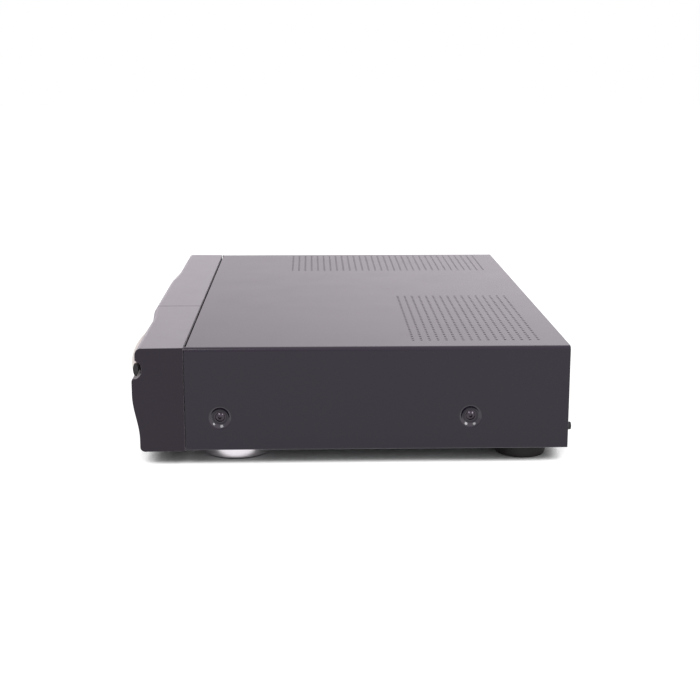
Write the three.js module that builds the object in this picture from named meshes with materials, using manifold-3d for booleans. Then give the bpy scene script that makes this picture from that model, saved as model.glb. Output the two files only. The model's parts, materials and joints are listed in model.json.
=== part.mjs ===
// Dual-deck disc recorder: two front-loading disc drives side by side in one low, wide metal case.
// Units are millimetres, +Z is up and -Y is the front. While the pieces are made, Y = 0 is the seam
// between the fascia and the top cover, and Z = 0 is the surface that the feet stand on.
import * as THREE from "three";
import { mergeVertices, mergeGeometries } from "three/addons/utils/BufferGeometryUtils.js";
import Module from "manifold-3d";

const wasm = await Module();
wasm.setup();

// Case
const caseWidth = 435;
const coverDepth = 283;
const coverHeight = 77.2;
const footHeight = 10.8;
const coverSheet = 1;
const coverCornerRadius = 3;
const chassisSheet = 1;

// Clearances
const fitGap = 0.3;
const runGap = 0.4;
const seamGap = 0.8;
const overrun = 6;

// Fascia section, as depths ahead of the seam and heights above the cover's lower edge
const lipDepth = 34.9;
const lipCornerDepth = 31;
const lipCornerFall = 1.4;
const lipFaceFall = 5;
const bellyDepth = 37.6;
const bellyHeight = 43;
const toeDepth = 32.7;
const toeHeight = 8;
const toeRadius = 3.6;
const fasciaUndercut = 0.7;
const fasciaWall = 2.5;
const centreBulge = 3.5;
const seamInset = 6.5;
const bulgeInset = 2;
const bulgeBlend = 50;
const endFlare = 1.5;

// Groove that runs across the fascia and holds the tray doors
const grooveHeight = 61.3;
const grooveDepthCentre = 35.5;
const grooveHalfDepth = 5.5;
const grooveHalfHeight = 6.7;

// Display window and the boards behind the fascia
const windowMargin = 4;
const windowHeight = 27;
const windowCentreHeight = 32;
const windowThickness = 2;
const displayMargin = 7;
const displayHeight = 22;
const displayDepth = 6.5;
const displayPip = 1.5;
const displayPipLength = 1;
const boardThickness = 1.6;
const frontBoardDepth = 27;
const frontBoardInset = 11.5;
const frontBoardHeight = 34;
const frontBoardRise = 4;
const switchSize = 6;
const switchHeight = 1.2;
const tabWidth = 34;
const cableSlotRise = 15;
const cableSlotHeight = 8;

// Buttons
const buttonTravel = 1;
const buttonProud = 0.9;
const buttonWidth = 17;
const buttonHeight = 7;
const buttonRadius = 2.2;
const buttonFlange = 1.4;
const buttonFlangeThickness = 1.2;
const buttonStem = 4;
const buttonRowHeight = 37;
const lowerRowHeight = 21;
const buttonPitch = 23;
const powerDiameter = 15;
const outerControlInset = 23;

// Jog knob and phones jack
const knobDiameter = 31;
const knobLength = 5;
const knobSkirt = 1.5;
const knobRecess = 1.4;
const knobDish = 3.1;
const knobShaftDiameter = 6;
const knobCentreHeight = 30;
const jackBore = 6.6;
const jackCollar = 11;
const jackBodyWidth = 14;
const jackBodyDepth = 18;

// Side screws and their dimples
const screwFrontY = 25.9;
const screwRearInset = 72.2;
const screwHeight = 25.5;
const dimpleDiameter = 18;
const dimpleFloorDiameter = 11;
const dimpleDepth = 1.9;
const screwHeadDiameter = 8.6;
const screwHeadHeight = 1.5;
const screwShankDiameter = 3.8;
const screwShankLength = 5;
const screwSocketDiameter = 3.4;
const screwSocketDepth = 0.9;

// Vents in the top
const ventPitch = 6.25;
const ventSlotWidth = 2;
const ventBridge = 3;
const ventSheetGap = 4;
const ventRearInset = 20.25;
const nearVentInset = 19.5;
const nearVentWidth = 180;
const farVentInset = 9.5;
const farVentWidth = 94;

// Feet
const frontFootDiameter = 52;
const rearFootDiameter = 39;
const frontFootInset = 36.5;
const rearFootInset = 27.5;
const rearFootRearInset = 31;
const footPadInset = 1;
const footPadRecess = 1.2;
const footRim = 2.4;

// Deck and its disc tray
const deckSideGap = 0.5;
const discDiameter = 120;
const smallDiscDiameter = 80;
const discClearance = 1;
const discHeight = 1.2;
const trayWidth = 132;
const trayRear = 150;
const trayTravel = 135;
const trayCentreY = 39;
const trayBottom = 66.8;
const trayThickness = 9.2;
const trayFloorHeight = 5.4;
const trayFloorThickness = 2;
const trayTongue = 2.5;
const smallRecessDepth = 0.7;
const traySlotWidth = 36;
const trayRib = 2.4;
const fingerNotchRadius = 15;

// Tray door
const doorOverlap = 8.5;
const doorRearDepth = 32.7;
const doorEndDepth = 36.6;
const doorCrown = 7.4;
const doorEndHeight = 9.6;
const doorCrownHeight = 1.2;
const doorDrop = 0.5;

// Rack, drive gear and loading motor
const gearModule = 2;
const gearTeeth = 12;
const gearY = -8;
const rackInset = 12;
const rackBack = 4.5;
const rackFront = -16;
const rackOverlap = 17;
const pulleyRadius = 13;
const pulleyThickness = 4;
const pulleyGrooveDepth = 1.6;
const gearHubRadius = 4;
const gearPostRadius = 2;
const motorRadius = 10;
const motorLength = 14;
const motorX = -4;
const motorY = -11.5;
const motorPulleyRadius = 4;
const motorShaftRadius = 1;

// Loader frame
const frameWall = 2.5;
const frameBase = 52;
const frameFloor = 2;
const frameTop = 77.7;
const frameFront = -25.8;
const frameRear = 160;
const frameLedge = 1.8;
const frameWindowWidth = 73;
const frameWindowFront = 12;
const frameWindowRear = 154;
const framePostRadius = 4;
const frameRearBar = 10;

// Base unit, which tilts down about its rear pins
const baseWidth = 64;
const baseFront = 21;
const baseRear = 146;
const baseLevel = 56;
const baseThickness = 3;
const basePinY = 150;
const basePinRadius = 2;
const basePinLength = 7;
const baseArmWidth = 5;
const baseTiltDegrees = 5;
const lugThickness = 4;
const lugHeight = 9;
const liftPinRadius = 1.5;
const liftPinLength = 7;
const railSpacing = 40;
const railRadius = 1.5;
const railRise = 3;
const railFront = 48;
const railRear = 118;
const railBlock = 4;

// Turntable and spindle motor
const turntableRadius = 15;
const turntableThickness = 3;
const turntableLift = 0.8;
const hubConeRadius = 7.3;
const hubConeHeight = 1.4;
const spindleHubRadius = 5;
const spindleMotorRadius = 12;
const spindleMotorHeight = 9;
const spindleBossRadius = 5;

// Optical sled and its lead screw
const sledWidth = 50;
const sledLength = 22;
const sledThickness = 5.6;
const sledTravel = 34;
const sledInnerRadius = 24;
const sledOpticsWidth = 25;
const sledOpticsLength = 18;
const sledOpticsDrop = 8;
const lensRadius = 3.5;
const lensHeight = 3.6;
const lensRingRadius = 6.5;
const screwX = 27.5;
const leadScrewRadius = 1.5;
const nutWidth = 6.5;
const nutLength = 8;
const sledMotorLength = 13;

// Clamp bridge and puck
const bridgeDepth = 34;
const bridgeSheet = 1.5;
const bridgeHoleRadius = 12;
const puckRadius = 14.5;
const puckNeckRadius = 10.5;
const puckFlangeRadius = 14;
const puckPlate = 1.6;
const puckRecessRadius = 8.4;
const puckRecessDepth = 3;
const puckFlangeThickness = 1.8;

// Cam slider that lifts the base unit
const camTravel = 18;
const camThickness = 2;
const camFootDepth = 9;
const camMargin = 5;
const camDwell = 3;

// Boards, power supply and sockets at the rear
const boardRise = 1.2;
const boardPostRadius = 3;
const boardSideGap = 10;
const boardSpacing = 23;
const mainBoardDepth = 104;
const rearBoardGap = 3;
const boardMargin = 6;
const chipHeight = 3;
const chipWidth = 24;
const capacitorRadius = 5;
const capacitorHeight = 16;
const transformerDepth = 40;
const transformerHeight = 40;
const windingInset = 7;
const windingBulge = 7;
const heatSinkGap = 10.5;
const heatSinkWidth = 5;
const heatSinkLength = 60;
const heatSinkHeight = 36;
const finDepth = 9;
const finThickness = 1.5;
const jackRadius = 4.15;
const jackCoreRadius = 1.7;
const jackProud = 8.5;
const jackPitch = 14;
const jackRowHeight = 8.7;
const jackBlockDepth = 12;
const analogJackInset = 26.5;
const digitalJackSpacing = 72;
const analogJackSpacing = 20;
const miniJackRadius = 3;
const miniJackProud = 7.4;
const miniJackBore = 1.8;
const opticalSize = 9.5;
const inletInset = 40.5;
const inletWidth = 22;
const inletHeight = 13;
const inletDepth = 20;
const inletFlange = 3;
const inletSocketWidth = 16;
const inletSocketHeight = 8.4;
const inletPinRadius = 1.2;
const inletPinSpacing = 8.6;
const inletCentreHeight = 20;
const sideWallHeight = 33;
const frontFlangeHeight = 36;

// Numbers of sides, teeth and repeats, and shares of other sizes
const roundSides = 16;
const smallSides = 8;
const postSides = 6;
const screwSides = 10;
const doorSides = 10;
const discSides = 28;
const smallDiscSides = 20;
const slotSides = 12;
const nearVentColumns = 16;
const nearVentSlots = 2;
const farVentColumns = 31;
const farVentSlots = 1;
const finCount = 6;
const floorVentRows = 6;
const gripCount = 14;
const gripShare = 0.94;
const gearRootShare = 1.25;
const gearTipShare = 0.8;
const gearToothShares = [-0.31, -0.12, 0.12, 0.31];
const rackToothShares = [-0.38, -0.13, 0.13, 0.38];
const lensRimShare = 0.75;
const lensTopShare = 0.6;
const mainBoardShare = 0.744;
const rowShares = [-1.5, -0.5, 0.5, 1.5];
const transformerShare = 0.48;

// Places worked out from the sizes
const bottomZ = footHeight;
const topZ = footHeight + coverHeight;
const halfWidth = caseWidth / 2;
const coverInner = halfWidth - coverSheet;
const sideFoldX = coverInner - dimpleDepth - fitGap;
const frameInner = trayWidth / 2 + trayTongue + 2 * runGap;
const frameOuter = frameInner + frameWall;
const deckX = sideFoldX - chassisSheet - deckSideGap - frameOuter;
const doorWidth = trayWidth + 2 * doorOverlap;
const doorLevel = grooveHeight - doorDrop;
const rackX = rackInset - trayWidth / 2;
const mouldingSeam = deckX - doorWidth / 2 - seamInset;
const bulgeInner = mouldingSeam + bulgeInset;
const bulgeOuter = bulgeInner + bulgeBlend;
const windowWidth = 2 * (mouldingSeam - windowMargin);
const displayWidth = windowWidth - 2 * displayMargin;
const frontBoardWidth = caseWidth - 2 * frontBoardInset;
const screwRearY = coverDepth - screwRearInset;
const lastVentY = coverDepth - ventRearInset;
const chassisTop = bottomZ + chassisSheet;
const pitchRadius = (gearModule * gearTeeth) / 2;
const trayTop = trayBottom + trayThickness;
const trayFloor = trayBottom + trayFloorHeight;
const trayUnderFloor = trayFloor - trayFloorThickness;
const discSeat = trayFloor + turntableLift;
const baseTop = baseLevel + baseThickness;
const railZ = baseTop + railRise;
const basePinZ = baseLevel + baseThickness / 2;
const gearX = rackX + pitchRadius;
const gearZ = [trayBottom + runGap, trayUnderFloor - runGap];
const camMiddleY = baseFront - liftPinLength / 2 - camThickness / 2;
const camReach = [-camTravel - camDwell - camMargin, camDwell + camMargin];
const camFootFront = camMiddleY - camFootDepth;
const sledRestY = trayCentreY + sledInnerRadius;
const boardBottom = chassisTop + boardRise;
const boardTop = boardBottom + boardThickness;
const rackRear = rackFront + trayTravel + rackOverlap;
const rearPanelY = coverDepth - 2 * chassisSheet;
const boardRoom = 2 * (coverInner - boardSideGap) - boardSpacing;
const mainBoardWidth = boardRoom * mainBoardShare;
const mainBoardX = coverInner - boardSideGap - mainBoardWidth / 2;
const powerBoardWidth = boardRoom - mainBoardWidth;
const powerBoardX = boardSideGap - coverInner + powerBoardWidth / 2;
const transformerWidth = powerBoardWidth * transformerShare;
const analogJackX = coverInner - analogJackInset;
const digitalJackX = analogJackX - digitalJackSpacing;
const inletX = inletInset - coverInner;

// Span of a given size about a middle
function about(middle, size) {
  return [middle - size / 2, middle + size / 2];
}

// Closed solid of a three.js geometry, with its shared corners welded
function solid(geometry) {
  const loose = geometry.index ? geometry.toNonIndexed() : geometry.clone();
  loose.deleteAttribute("normal");
  loose.deleteAttribute("uv");
  const welded = mergeVertices(loose);
  const corners = [];
  for (let i = 0; i < welded.index.count; i += 3) {
    const [a, b, c] = welded.index.array.slice(i, i + 3);
    if (a !== b && b !== c && c !== a) corners.push(a, b, c);
  }
  const triVerts = new Uint32Array(corners);
  const vertProperties = welded.attributes.position.array;
  return new wasm.Manifold(new wasm.Mesh({ numProp: 3, vertProperties, triVerts }));
}

// Drawable geometry of a solid
function geometryOf(shape) {
  const mesh = shape.getMesh();
  const geometry = new THREE.BufferGeometry();
  geometry.setAttribute("position", new THREE.BufferAttribute(mesh.vertProperties, mesh.numProp));
  geometry.setIndex(new THREE.BufferAttribute(mesh.triVerts, 1));
  geometry.computeVertexNormals();
  return geometry;
}

// Several solids joined into one
function join(...shapes) {
  return shapes.reduce((whole, next) => whole.add(next));
}

// A solid with others taken away from it
function cut(shape, ...cutters) {
  return cutters.reduce((left, cutter) => left.subtract(cutter), shape);
}

// Box between three spans
function block([x0, x1], [y0, y1], [z0, z1]) {
  const geometry = new THREE.BoxGeometry(x1 - x0, y1 - y0, z1 - z0);
  geometry.translate((x0 + x1) / 2, (y0 + y1) / 2, (z0 + z1) / 2);
  return solid(geometry);
}

// Outline through a list of points
function outline(points) {
  return new THREE.Shape(points.map(([a, b]) => new THREE.Vector2(a, b)));
}

// Points of a regular ring
function ring(a, b, radius, sides = roundSides, turn = 0) {
  return Array.from({ length: sides }, (_, i) => {
    const angle = (2 * Math.PI * (i + turn)) / sides;
    return [a + radius * Math.cos(angle), b + radius * Math.sin(angle)];
  });
}

// Points of a rectangle with round corners
function roundedRectangle([a0, a1], [b0, b1], radius, steps = 2) {
  const corners = [
    [a1 - radius, b1 - radius],
    [a0 + radius, b1 - radius],
    [a0 + radius, b0 + radius],
    [a1 - radius, b0 + radius],
  ];
  return corners.flatMap(([a, b], quarter) =>
    Array.from({ length: steps + 1 }, (_, i) => {
      const angle = (Math.PI / 2) * (quarter + i / steps);
      return [a + radius * Math.cos(angle), b + radius * Math.sin(angle)];
    }),
  );
}

// Outline pushed along one axis. The outline's two coordinates are (y, z), (x, z) or (x, y).
function prism(axis, points, [lo, hi]) {
  const x = new THREE.Vector3(1, 0, 0);
  const y = new THREE.Vector3(0, 1, 0);
  const z = new THREE.Vector3(0, 0, 1);
  const place = new THREE.Matrix4();
  if (axis === "x") place.makeBasis(y, z, x).setPosition(lo, 0, 0);
  if (axis === "y") place.makeBasis(x, z, y.clone().negate()).setPosition(0, hi, 0);
  if (axis === "z") place.setPosition(0, 0, lo);
  const geometry = new THREE.ExtrudeGeometry(outline(points), { depth: hi - lo, bevelEnabled: false });
  return solid(geometry.applyMatrix4(place));
}

// Round bar along one axis
function rod(axis, a, b, radius, span, sides = smallSides) {
  return prism(axis, ring(a, b, radius, sides), span);
}

// Turned solid about a vertical axis, from a profile of (radius, height) that starts and ends on it
function turned(profile, x, y, sides = roundSides) {
  const geometry = new THREE.LatheGeometry(
    profile.map(([radius, height]) => new THREE.Vector2(radius, height)),
    sides,
  );
  geometry.rotateX(Math.PI / 2);
  return solid(geometry.translate(x, y, 0));
}

// Solid through a row of sections along X, each a loop of (y, z) points
function loft(stations, sectionAt, xAt = (x) => x) {
  const rings = stations.map((x) => sectionAt(x).map(([y, z]) => [xAt(x, y), y, z]));
  const count = rings[0].length;
  const points = rings.flat(2);
  const faces = [];
  for (let k = 0; k + 1 < rings.length; k++) {
    for (let i = 0; i < count; i++) {
      const a = k * count + i;
      const b = k * count + ((i + 1) % count);
      faces.push(a, b, a + count, b, b + count, a + count);
    }
  }
  const caps = [rings[0], rings.at(-1)].map((loop) =>
    THREE.ShapeUtils.triangulateShape(loop.map(([, y, z]) => new THREE.Vector2(y, z)), []),
  );
  const last = (rings.length - 1) * count;
  caps[0].forEach(([a, b, c]) => faces.push(a, c, b));
  caps[1].forEach(([a, b, c]) => faces.push(last + a, last + b, last + c));
  const geometry = new THREE.BufferGeometry();
  geometry.setAttribute("position", new THREE.Float32BufferAttribute(points, 3));
  geometry.setIndex(faces);
  return solid(geometry);
}

// Toothed wheel outline, with straight-sided teeth and a running gap
function gearOutline(teeth, toothModule) {
  const radius = (toothModule * teeth) / 2;
  const inner = radius - gearRootShare * toothModule;
  const outer = radius + gearTipShare * toothModule;
  return Array.from({ length: teeth }, (_, tooth) =>
    gearToothShares.map((share, i) => {
      const reach = i === 0 || i === 3 ? inner : outer;
      const angle = (2 * Math.PI * (tooth + share)) / teeth;
      return [reach * Math.cos(angle), reach * Math.sin(angle)];
    }),
  ).flat();
}

const root = new THREE.Group();
const body = new THREE.Group();
root.add(body);

// Named mesh of a solid, hung in a group
function piece(name, shape, material, parent = body) {
  const mesh = new THREE.Mesh(geometryOf(shape), material);
  mesh.name = name;
  parent.add(mesh);
  return mesh;
}

function finish(color, roughness, metalness) {
  return new THREE.MeshStandardMaterial({ color, roughness, metalness });
}

const satinBlackSteel = finish(0x3e3b42, 0.42, 0.35);
const fasciaPlastic = finish(0x38353b, 0.45, 0.1);
const champagne = finish(0xd6cfc4, 0.3, 0.7);
const zincSteel = finish(0xa9abae, 0.45, 0.8);
const smokedWindow = finish(0x15161a, 0.12, 0);
const displayGlass = finish(0x1c2b2b, 0.2, 0);
const boardGreen = finish(0x2c5a3a, 0.6, 0);
const boardBrown = finish(0x8a6b43, 0.7, 0);
const blackPlastic = finish(0x1d1d20, 0.55, 0);
const greyPlastic = finish(0x4b4b50, 0.55, 0);
const whitePlastic = finish(0xd9d9d4, 0.5, 0);
const brightSteel = finish(0xc4c6c8, 0.25, 1);
const diecast = finish(0x8b8d90, 0.5, 0.7);
const rubber = finish(0x2a2829, 0.85, 0);
const silverPaint = finish(0xd2c9cf, 0.35, 0.6);
const ironCore = finish(0x7b7468, 0.55, 0.5);
const blackAluminium = finish(0x26272a, 0.45, 0.8);

// Fascia

// How far the fascia swells forward at a place across the front
function bulgeAt(x) {
  const t = THREE.MathUtils.clamp((bulgeOuter - Math.abs(x)) / (bulgeOuter - bulgeInner), 0, 1);
  return centreBulge * t * t * (3 - 2 * t);
}

// Depths of the front grow with the swell in proportion
function swell(x, depth) {
  return -depth * (1 + bulgeAt(x) / bellyDepth);
}

// Depth of the outer skin below the groove at a height above the cover's lower edge
function skinDepth(height) {
  const t = THREE.MathUtils.clamp((height - toeHeight) / (bellyHeight - toeHeight), 0, 1);
  return toeDepth + (bellyDepth - toeDepth) * (1 - Math.cos(Math.PI * t)) / 2;
}

// Outer section of the fascia as (depth, height) points from the top rear corner to the bottom one.
// Setback moves the skin inwards, and a negative one moves it out.
function fasciaOutline(setback) {
  const bellySteps = 5;
  const lipHeights = [
    coverHeight - lipCornerFall,
    coverHeight - lipFaceFall,
    grooveHeight + grooveHalfHeight,
  ];
  const points = [
    [seamGap, coverHeight - setback],
    [lipCornerDepth - setback, coverHeight - setback],
    [(lipCornerDepth + lipDepth) / 2 + lipCornerFall - setback, lipHeights[0] - setback],
    [lipDepth - setback, lipHeights[1] - setback / 2],
    [lipDepth - setback, lipHeights[2]],
    [bellyDepth - setback, grooveHeight - grooveHalfHeight],
  ];
  for (let i = 0; i <= bellySteps; i++) {
    const height = bellyHeight + (toeHeight - bellyHeight) * (i / bellySteps);
    points.push([skinDepth(height) - setback, height]);
  }
  const floor = setback - fasciaUndercut;
  points.push([toeDepth - setback, floor + toeRadius]);
  points.push([toeDepth - setback - toeRadius * (1 - Math.SQRT1_2), floor + toeRadius * (1 - Math.SQRT1_2)]);
  points.push([toeDepth - setback - toeRadius, floor]);
  points.push([seamGap, floor]);
  return points;
}

const blendStationCount = 3;
const rightStations = [mouldingSeam];
for (let i = 0; i <= blendStationCount; i++) {
  rightStations.push(bulgeInner + ((bulgeOuter - bulgeInner) * i) / blendStationCount);
}
rightStations.push(halfWidth);
const leftStations = [...rightStations.slice(1).reverse().map((x) => -x), mouldingSeam];
const allStations = [...leftStations, ...rightStations.slice(1)];

// End faces lean outwards towards the front
function flareAt(x, y) {
  return Math.abs(x) < halfWidth ? x : x + (Math.sign(x) * endFlare * -y) / bellyDepth;
}

// Body between section stations, from (depth, height) points
function frontBody(stations, points, xAt = flareAt) {
  const sectionAt = (x) =>
    points.map(([depth, height]) => {
      const y = depth === seamGap ? -seamGap : swell(x, depth);
      return [y, bottomZ + height];
    });
  return loft(stations, sectionAt, xAt);
}

// Points of an oval, as (depth, height)
function oval(depth, height, halfDepth, halfHeight, sides) {
  return ring(0, 0, 1, sides)
    .map(([a, b]) => [depth + halfDepth * a, height + halfHeight * b])
    .reverse();
}

// Room inside the fascia, with a step behind the groove
function fasciaHollow() {
  const inner = fasciaOutline(fasciaWall).slice(1, -1);
  const grooveBack = grooveDepthCentre - grooveHalfDepth - fasciaWall;
  const upper = grooveHeight + grooveHalfHeight + fasciaWall;
  const lower = grooveHeight - grooveHalfHeight - fasciaWall;
  const points = [
    [-overrun, coverHeight - fasciaWall],
    inner[0],
    [inner[2][0], upper],
    [grooveBack, upper],
    [grooveBack, lower],
    [bellyDepth - fasciaWall, lower],
    ...inner.slice(5),
    [-overrun, fasciaWall - fasciaUndercut],
  ];
  const inside = halfWidth - fasciaWall;
  const stations = [-inside, ...allStations.slice(1, -1), inside];
  return frontBody(stations, points, (x) => x);
}

// Outline of a control on the front, as (x, z) points
function capOutline(control, grow) {
  if (control.radius) return ring(control.x, control.z, control.radius + grow, roundSides);
  return roundedRectangle(
    about(control.x, control.width + 2 * grow),
    about(control.z, control.height + 2 * grow),
    buttonRadius + grow,
  );
}

// Outer and inner faces of the front wall at a place, as Y values
function skinY(x, z) {
  return swell(x, skinDepth(z - bottomZ));
}

function innerSkinY(x, z) {
  return swell(x, skinDepth(z - bottomZ) - fasciaWall);
}

const rowZ = bottomZ + buttonRowHeight;
const lowRowZ = bottomZ + lowerRowHeight;
const innerButtonX = bulgeInner + buttonPitch / 2 + buttonWidth / 4;
const outerX = halfWidth - outerControlInset;
const buttonShape = { width: buttonWidth, height: buttonHeight };
const buttons = [
  { name: "power_button", x: -outerX, z: rowZ, radius: powerDiameter / 2 },
  { name: "open_button_left", x: -innerButtonX, z: rowZ, ...buttonShape },
  { name: "play_button_left", x: -innerButtonX - buttonPitch, z: rowZ, ...buttonShape },
  { name: "stop_button_left", x: -innerButtonX - 2 * buttonPitch, z: rowZ, ...buttonShape },
  { name: "open_button_right", x: innerButtonX, z: rowZ, ...buttonShape },
  { name: "play_button_right", x: innerButtonX + buttonPitch, z: rowZ, ...buttonShape },
  { name: "stop_button_right", x: innerButtonX + 2 * buttonPitch, z: rowZ, ...buttonShape },
  { name: "record_button", x: innerButtonX + buttonPitch, z: lowRowZ, ...buttonShape },
];
const knob = { x: deckX + knobDiameter, z: bottomZ + knobCentreHeight, radius: knobDiameter / 2 };
const jack = { x: -outerX, z: lowRowZ - buttonRadius, radius: jackCollar / 2 };
const frontCut = [-bellyDepth - centreBulge - overrun, -frontBoardDepth];

// Opening through the groove's back wall for one tray
function trayOpening(x) {
  const width = trayWidth + 2 * trayTongue + 4 * runGap;
  return block(
    about(x, width),
    [frontCut[0], 0],
    [trayBottom - runGap, trayTop + runGap],
  );
}

// Posts inside the fascia that the control board is screwed to
function boardPosts(places) {
  return places.map(([x, z]) => {
    const span = [skinY(x, z) + fasciaWall / 2, -frontBoardDepth - fitGap];
    return rod("y", x, z, boardPostRadius, span, postSides);
  });
}

const windowZ = bottomZ + windowCentreHeight;
const postTopZ = bottomZ + frontBoardRise + frontBoardHeight - boardPostRadius;
const postLowZ = bottomZ + frontBoardRise + boardPostRadius;

function buildFascia() {
  const skin = fasciaOutline(0);
  const half = fitGap / 2;
  const leftEnds = [...leftStations.slice(0, -1), mouldingSeam - half];
  const rightEnds = [mouldingSeam + half, ...rightStations.slice(1)];
  const groove = frontBody(
    [-halfWidth - overrun, ...allStations.slice(1, -1), halfWidth + overrun],
    oval(grooveDepthCentre, grooveHeight, grooveHalfDepth, grooveHalfHeight, slotSides),
    (x) => x,
  );
  const hollow = fasciaHollow();
  const window = prism(
    "y",
    roundedRectangle(about(0, windowWidth), about(windowZ, windowHeight), buttonRadius),
    frontCut,
  );
  const capHoles = buttons.map((button) => prism("y", capOutline(button, fitGap), frontCut));
  const seatSpan = [frontCut[0], skinY(knob.x, knob.z) + knobRecess];
  const knobSeat = rod("y", knob.x, knob.z, knob.radius + runGap, seatSpan, roundSides);
  const shaftHole = rod("y", knob.x, knob.z, knobShaftDiameter / 2 + runGap, frontCut, smallSides);
  const jackHole = rod("y", jack.x, jack.z, jack.radius + fitGap, frontCut, smallSides);
  const tabZ = [chassisTop + fitGap, chassisTop + fitGap + chassisSheet];
  const tab = (x) => block(about(x, tabWidth), [-fasciaWall, overrun], tabZ);
  const powerPostX = powerDiameter - outerX;
  const innerPostX = bulgeInner + boardPostRadius;

  const main = join(
    cut(frontBody(leftEnds, skin), groove, hollow),
    ...boardPosts([[powerPostX, postTopZ], [powerPostX, postLowZ], [-deckX, postLowZ]]),
    ...boardPosts([[-innerPostX, postLowZ], [-innerPostX, postTopZ]]),
    tab(-deckX),
    tab(0),
  );
  piece("front_fascia", cut(main, trayOpening(-deckX), window, jackHole, ...capHoles), fasciaPlastic);

  const right = join(
    cut(frontBody(rightEnds, skin), groove, hollow),
    ...boardPosts([[outerX, postLowZ], [deckX, postLowZ], [innerPostX, postLowZ]]),
    tab(deckX),
  );
  piece("fascia_right", cut(right, trayOpening(deckX), knobSeat, shaftHole, ...capHoles), fasciaPlastic);

  const paneOutline = roundedRectangle(
    about(0, windowWidth - 2 * fitGap),
    about(windowZ, windowHeight - 2 * fitGap),
    buttonRadius - fitGap,
  );
  const pane = frontBody(allStations, fasciaOutline(0), (x) => x)
    .subtract(frontBody(allStations, fasciaOutline(windowThickness), (x) => x))
    .intersect(prism("y", paneOutline, [frontCut[0], -toeDepth + fasciaWall]));
  piece("display_window", pane, smokedWindow);
}

// Oval bar in the groove between the two tray doors
function buildCentreTrim() {
  const reach = deckX - doorWidth / 2 - 2 * fitGap;
  const stations = [-reach, ...allStations.filter((x) => Math.abs(x) < reach), reach];
  const rear = grooveDepthCentre - grooveHalfDepth + fitGap;
  const middle = (rear + doorEndDepth) / 2;
  const points = oval(middle, doorLevel, doorEndDepth - middle, doorEndHeight / 2, smallSides);
  piece("centre_trim", frontBody(stations, points, (x) => x), champagne);
}

const doorStationShares = [-1, -0.85, -0.6, -0.3, 0, 0.3, 0.6, 0.85, 1];

// How much of the door's swell there is at a share of its half width
function crownAt(share) {
  return 1 - share * share;
}

function doorFront(side, share) {
  return doorEndDepth + bulgeAt(side * deckX + (share * doorWidth) / 2) + doorCrown * crownAt(share);
}

// Tray door: an oval bar that swells forwards in the middle of its deck
function buildDoor(name, side) {
  const stations = doorStationShares.map((share) => side * deckX + (share * doorWidth) / 2);
  const door = loft(stations, (x) => {
    const share = (2 * (x - side * deckX)) / doorWidth;
    const front = doorFront(side, share);
    const rear = -swell(x, doorRearDepth);
    const halfHeight = (doorEndHeight + doorCrownHeight * crownAt(share)) / 2;
    return oval((rear + front) / 2, doorLevel, (front - rear) / 2, halfHeight, doorSides)
      .map(([depth, height]) => [-depth, bottomZ + height]);
  });
  piece(name, door, champagne);
}

// Push buttons: a cap that follows the skin, a flange behind the wall and a stem towards its switch
function buildButtons() {
  const proudSkin = frontBody(allStations, fasciaOutline(-buttonProud), (x) => x);
  const stemEnd = -frontBoardDepth - switchHeight - buttonTravel - fitGap;
  buttons.forEach((button) => {
    const halfX = button.radius ?? button.width / 2;
    const halfZ = button.radius ?? button.height / 2;
    const reach = Math.abs(button.x) + halfX + buttonFlange;
    const flangeFront = innerSkinY(reach, button.z - halfZ - buttonFlange) + fitGap;
    const flangeRear = flangeFront + buttonFlangeThickness;
    const cap = proudSkin.intersect(prism("y", capOutline(button, 0), [frontCut[0], flangeRear]));
    const flange = prism("y", capOutline(button, buttonFlange), [flangeFront, flangeRear]);
    const stem = rod("y", button.x, button.z, buttonStem / 2, [flangeFront, stemEnd], smallSides);
    piece(button.name, join(cap, flange, stem), silverPaint);
  });
}

// Jog knob: a grooved drum on a shaft that turns in the control board's encoder
function buildKnob() {
  const rearY = skinY(knob.x, knob.z) + knobRecess - runGap;
  const grip = Array.from({ length: 2 * gripCount }, (_, i) => {
    const angle = (Math.PI * i) / gripCount;
    const reach = knob.radius * (i % 2 ? gripShare : 1);
    return [knob.x + reach * Math.cos(angle), knob.z + reach * Math.sin(angle)];
  });
  const frontY = rearY - knobLength;
  const drum = prism("y", grip, [frontY, rearY - knobSkirt]);
  const skirt = rod("y", knob.x, knob.z, knob.radius, [rearY - knobSkirt, rearY], 2 * gripCount);
  const dishSpan = [frontY - overrun, frontY + knobRecess];
  const dish = rod("y", knob.x + knob.radius / 2, knob.z, knobDish, dishSpan, smallSides);
  const shaftSpan = [rearY - knobSkirt, -frontBoardDepth - switchHeight - 2 * fitGap];
  const shaft = rod("y", knob.x, knob.z, knobShaftDiameter / 2, shaftSpan, smallSides);
  piece("jog_knob", cut(join(drum, skirt, shaft), dish), silverPaint);
}

// Headphone socket behind the fascia
function buildPhonesJack() {
  const face = skinY(jack.x, jack.z) - buttonProud;
  const bodyFront = innerSkinY(jack.x, jack.z - jackBodyWidth / 2) + fitGap;
  const collar = rod("y", jack.x, jack.z, jack.radius, [face, bodyFront + fitGap], smallSides);
  const rear = bodyFront + jackBodyDepth;
  const box = block(about(jack.x, jackBodyWidth), [bodyFront, rear], about(jack.z, jackBodyWidth));
  const bore = rod("y", jack.x, jack.z, jackBore / 2, [frontCut[0], rear - fasciaWall], smallSides);
  piece("phones_jack", cut(join(collar, box), bore), blackPlastic);
}

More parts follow.
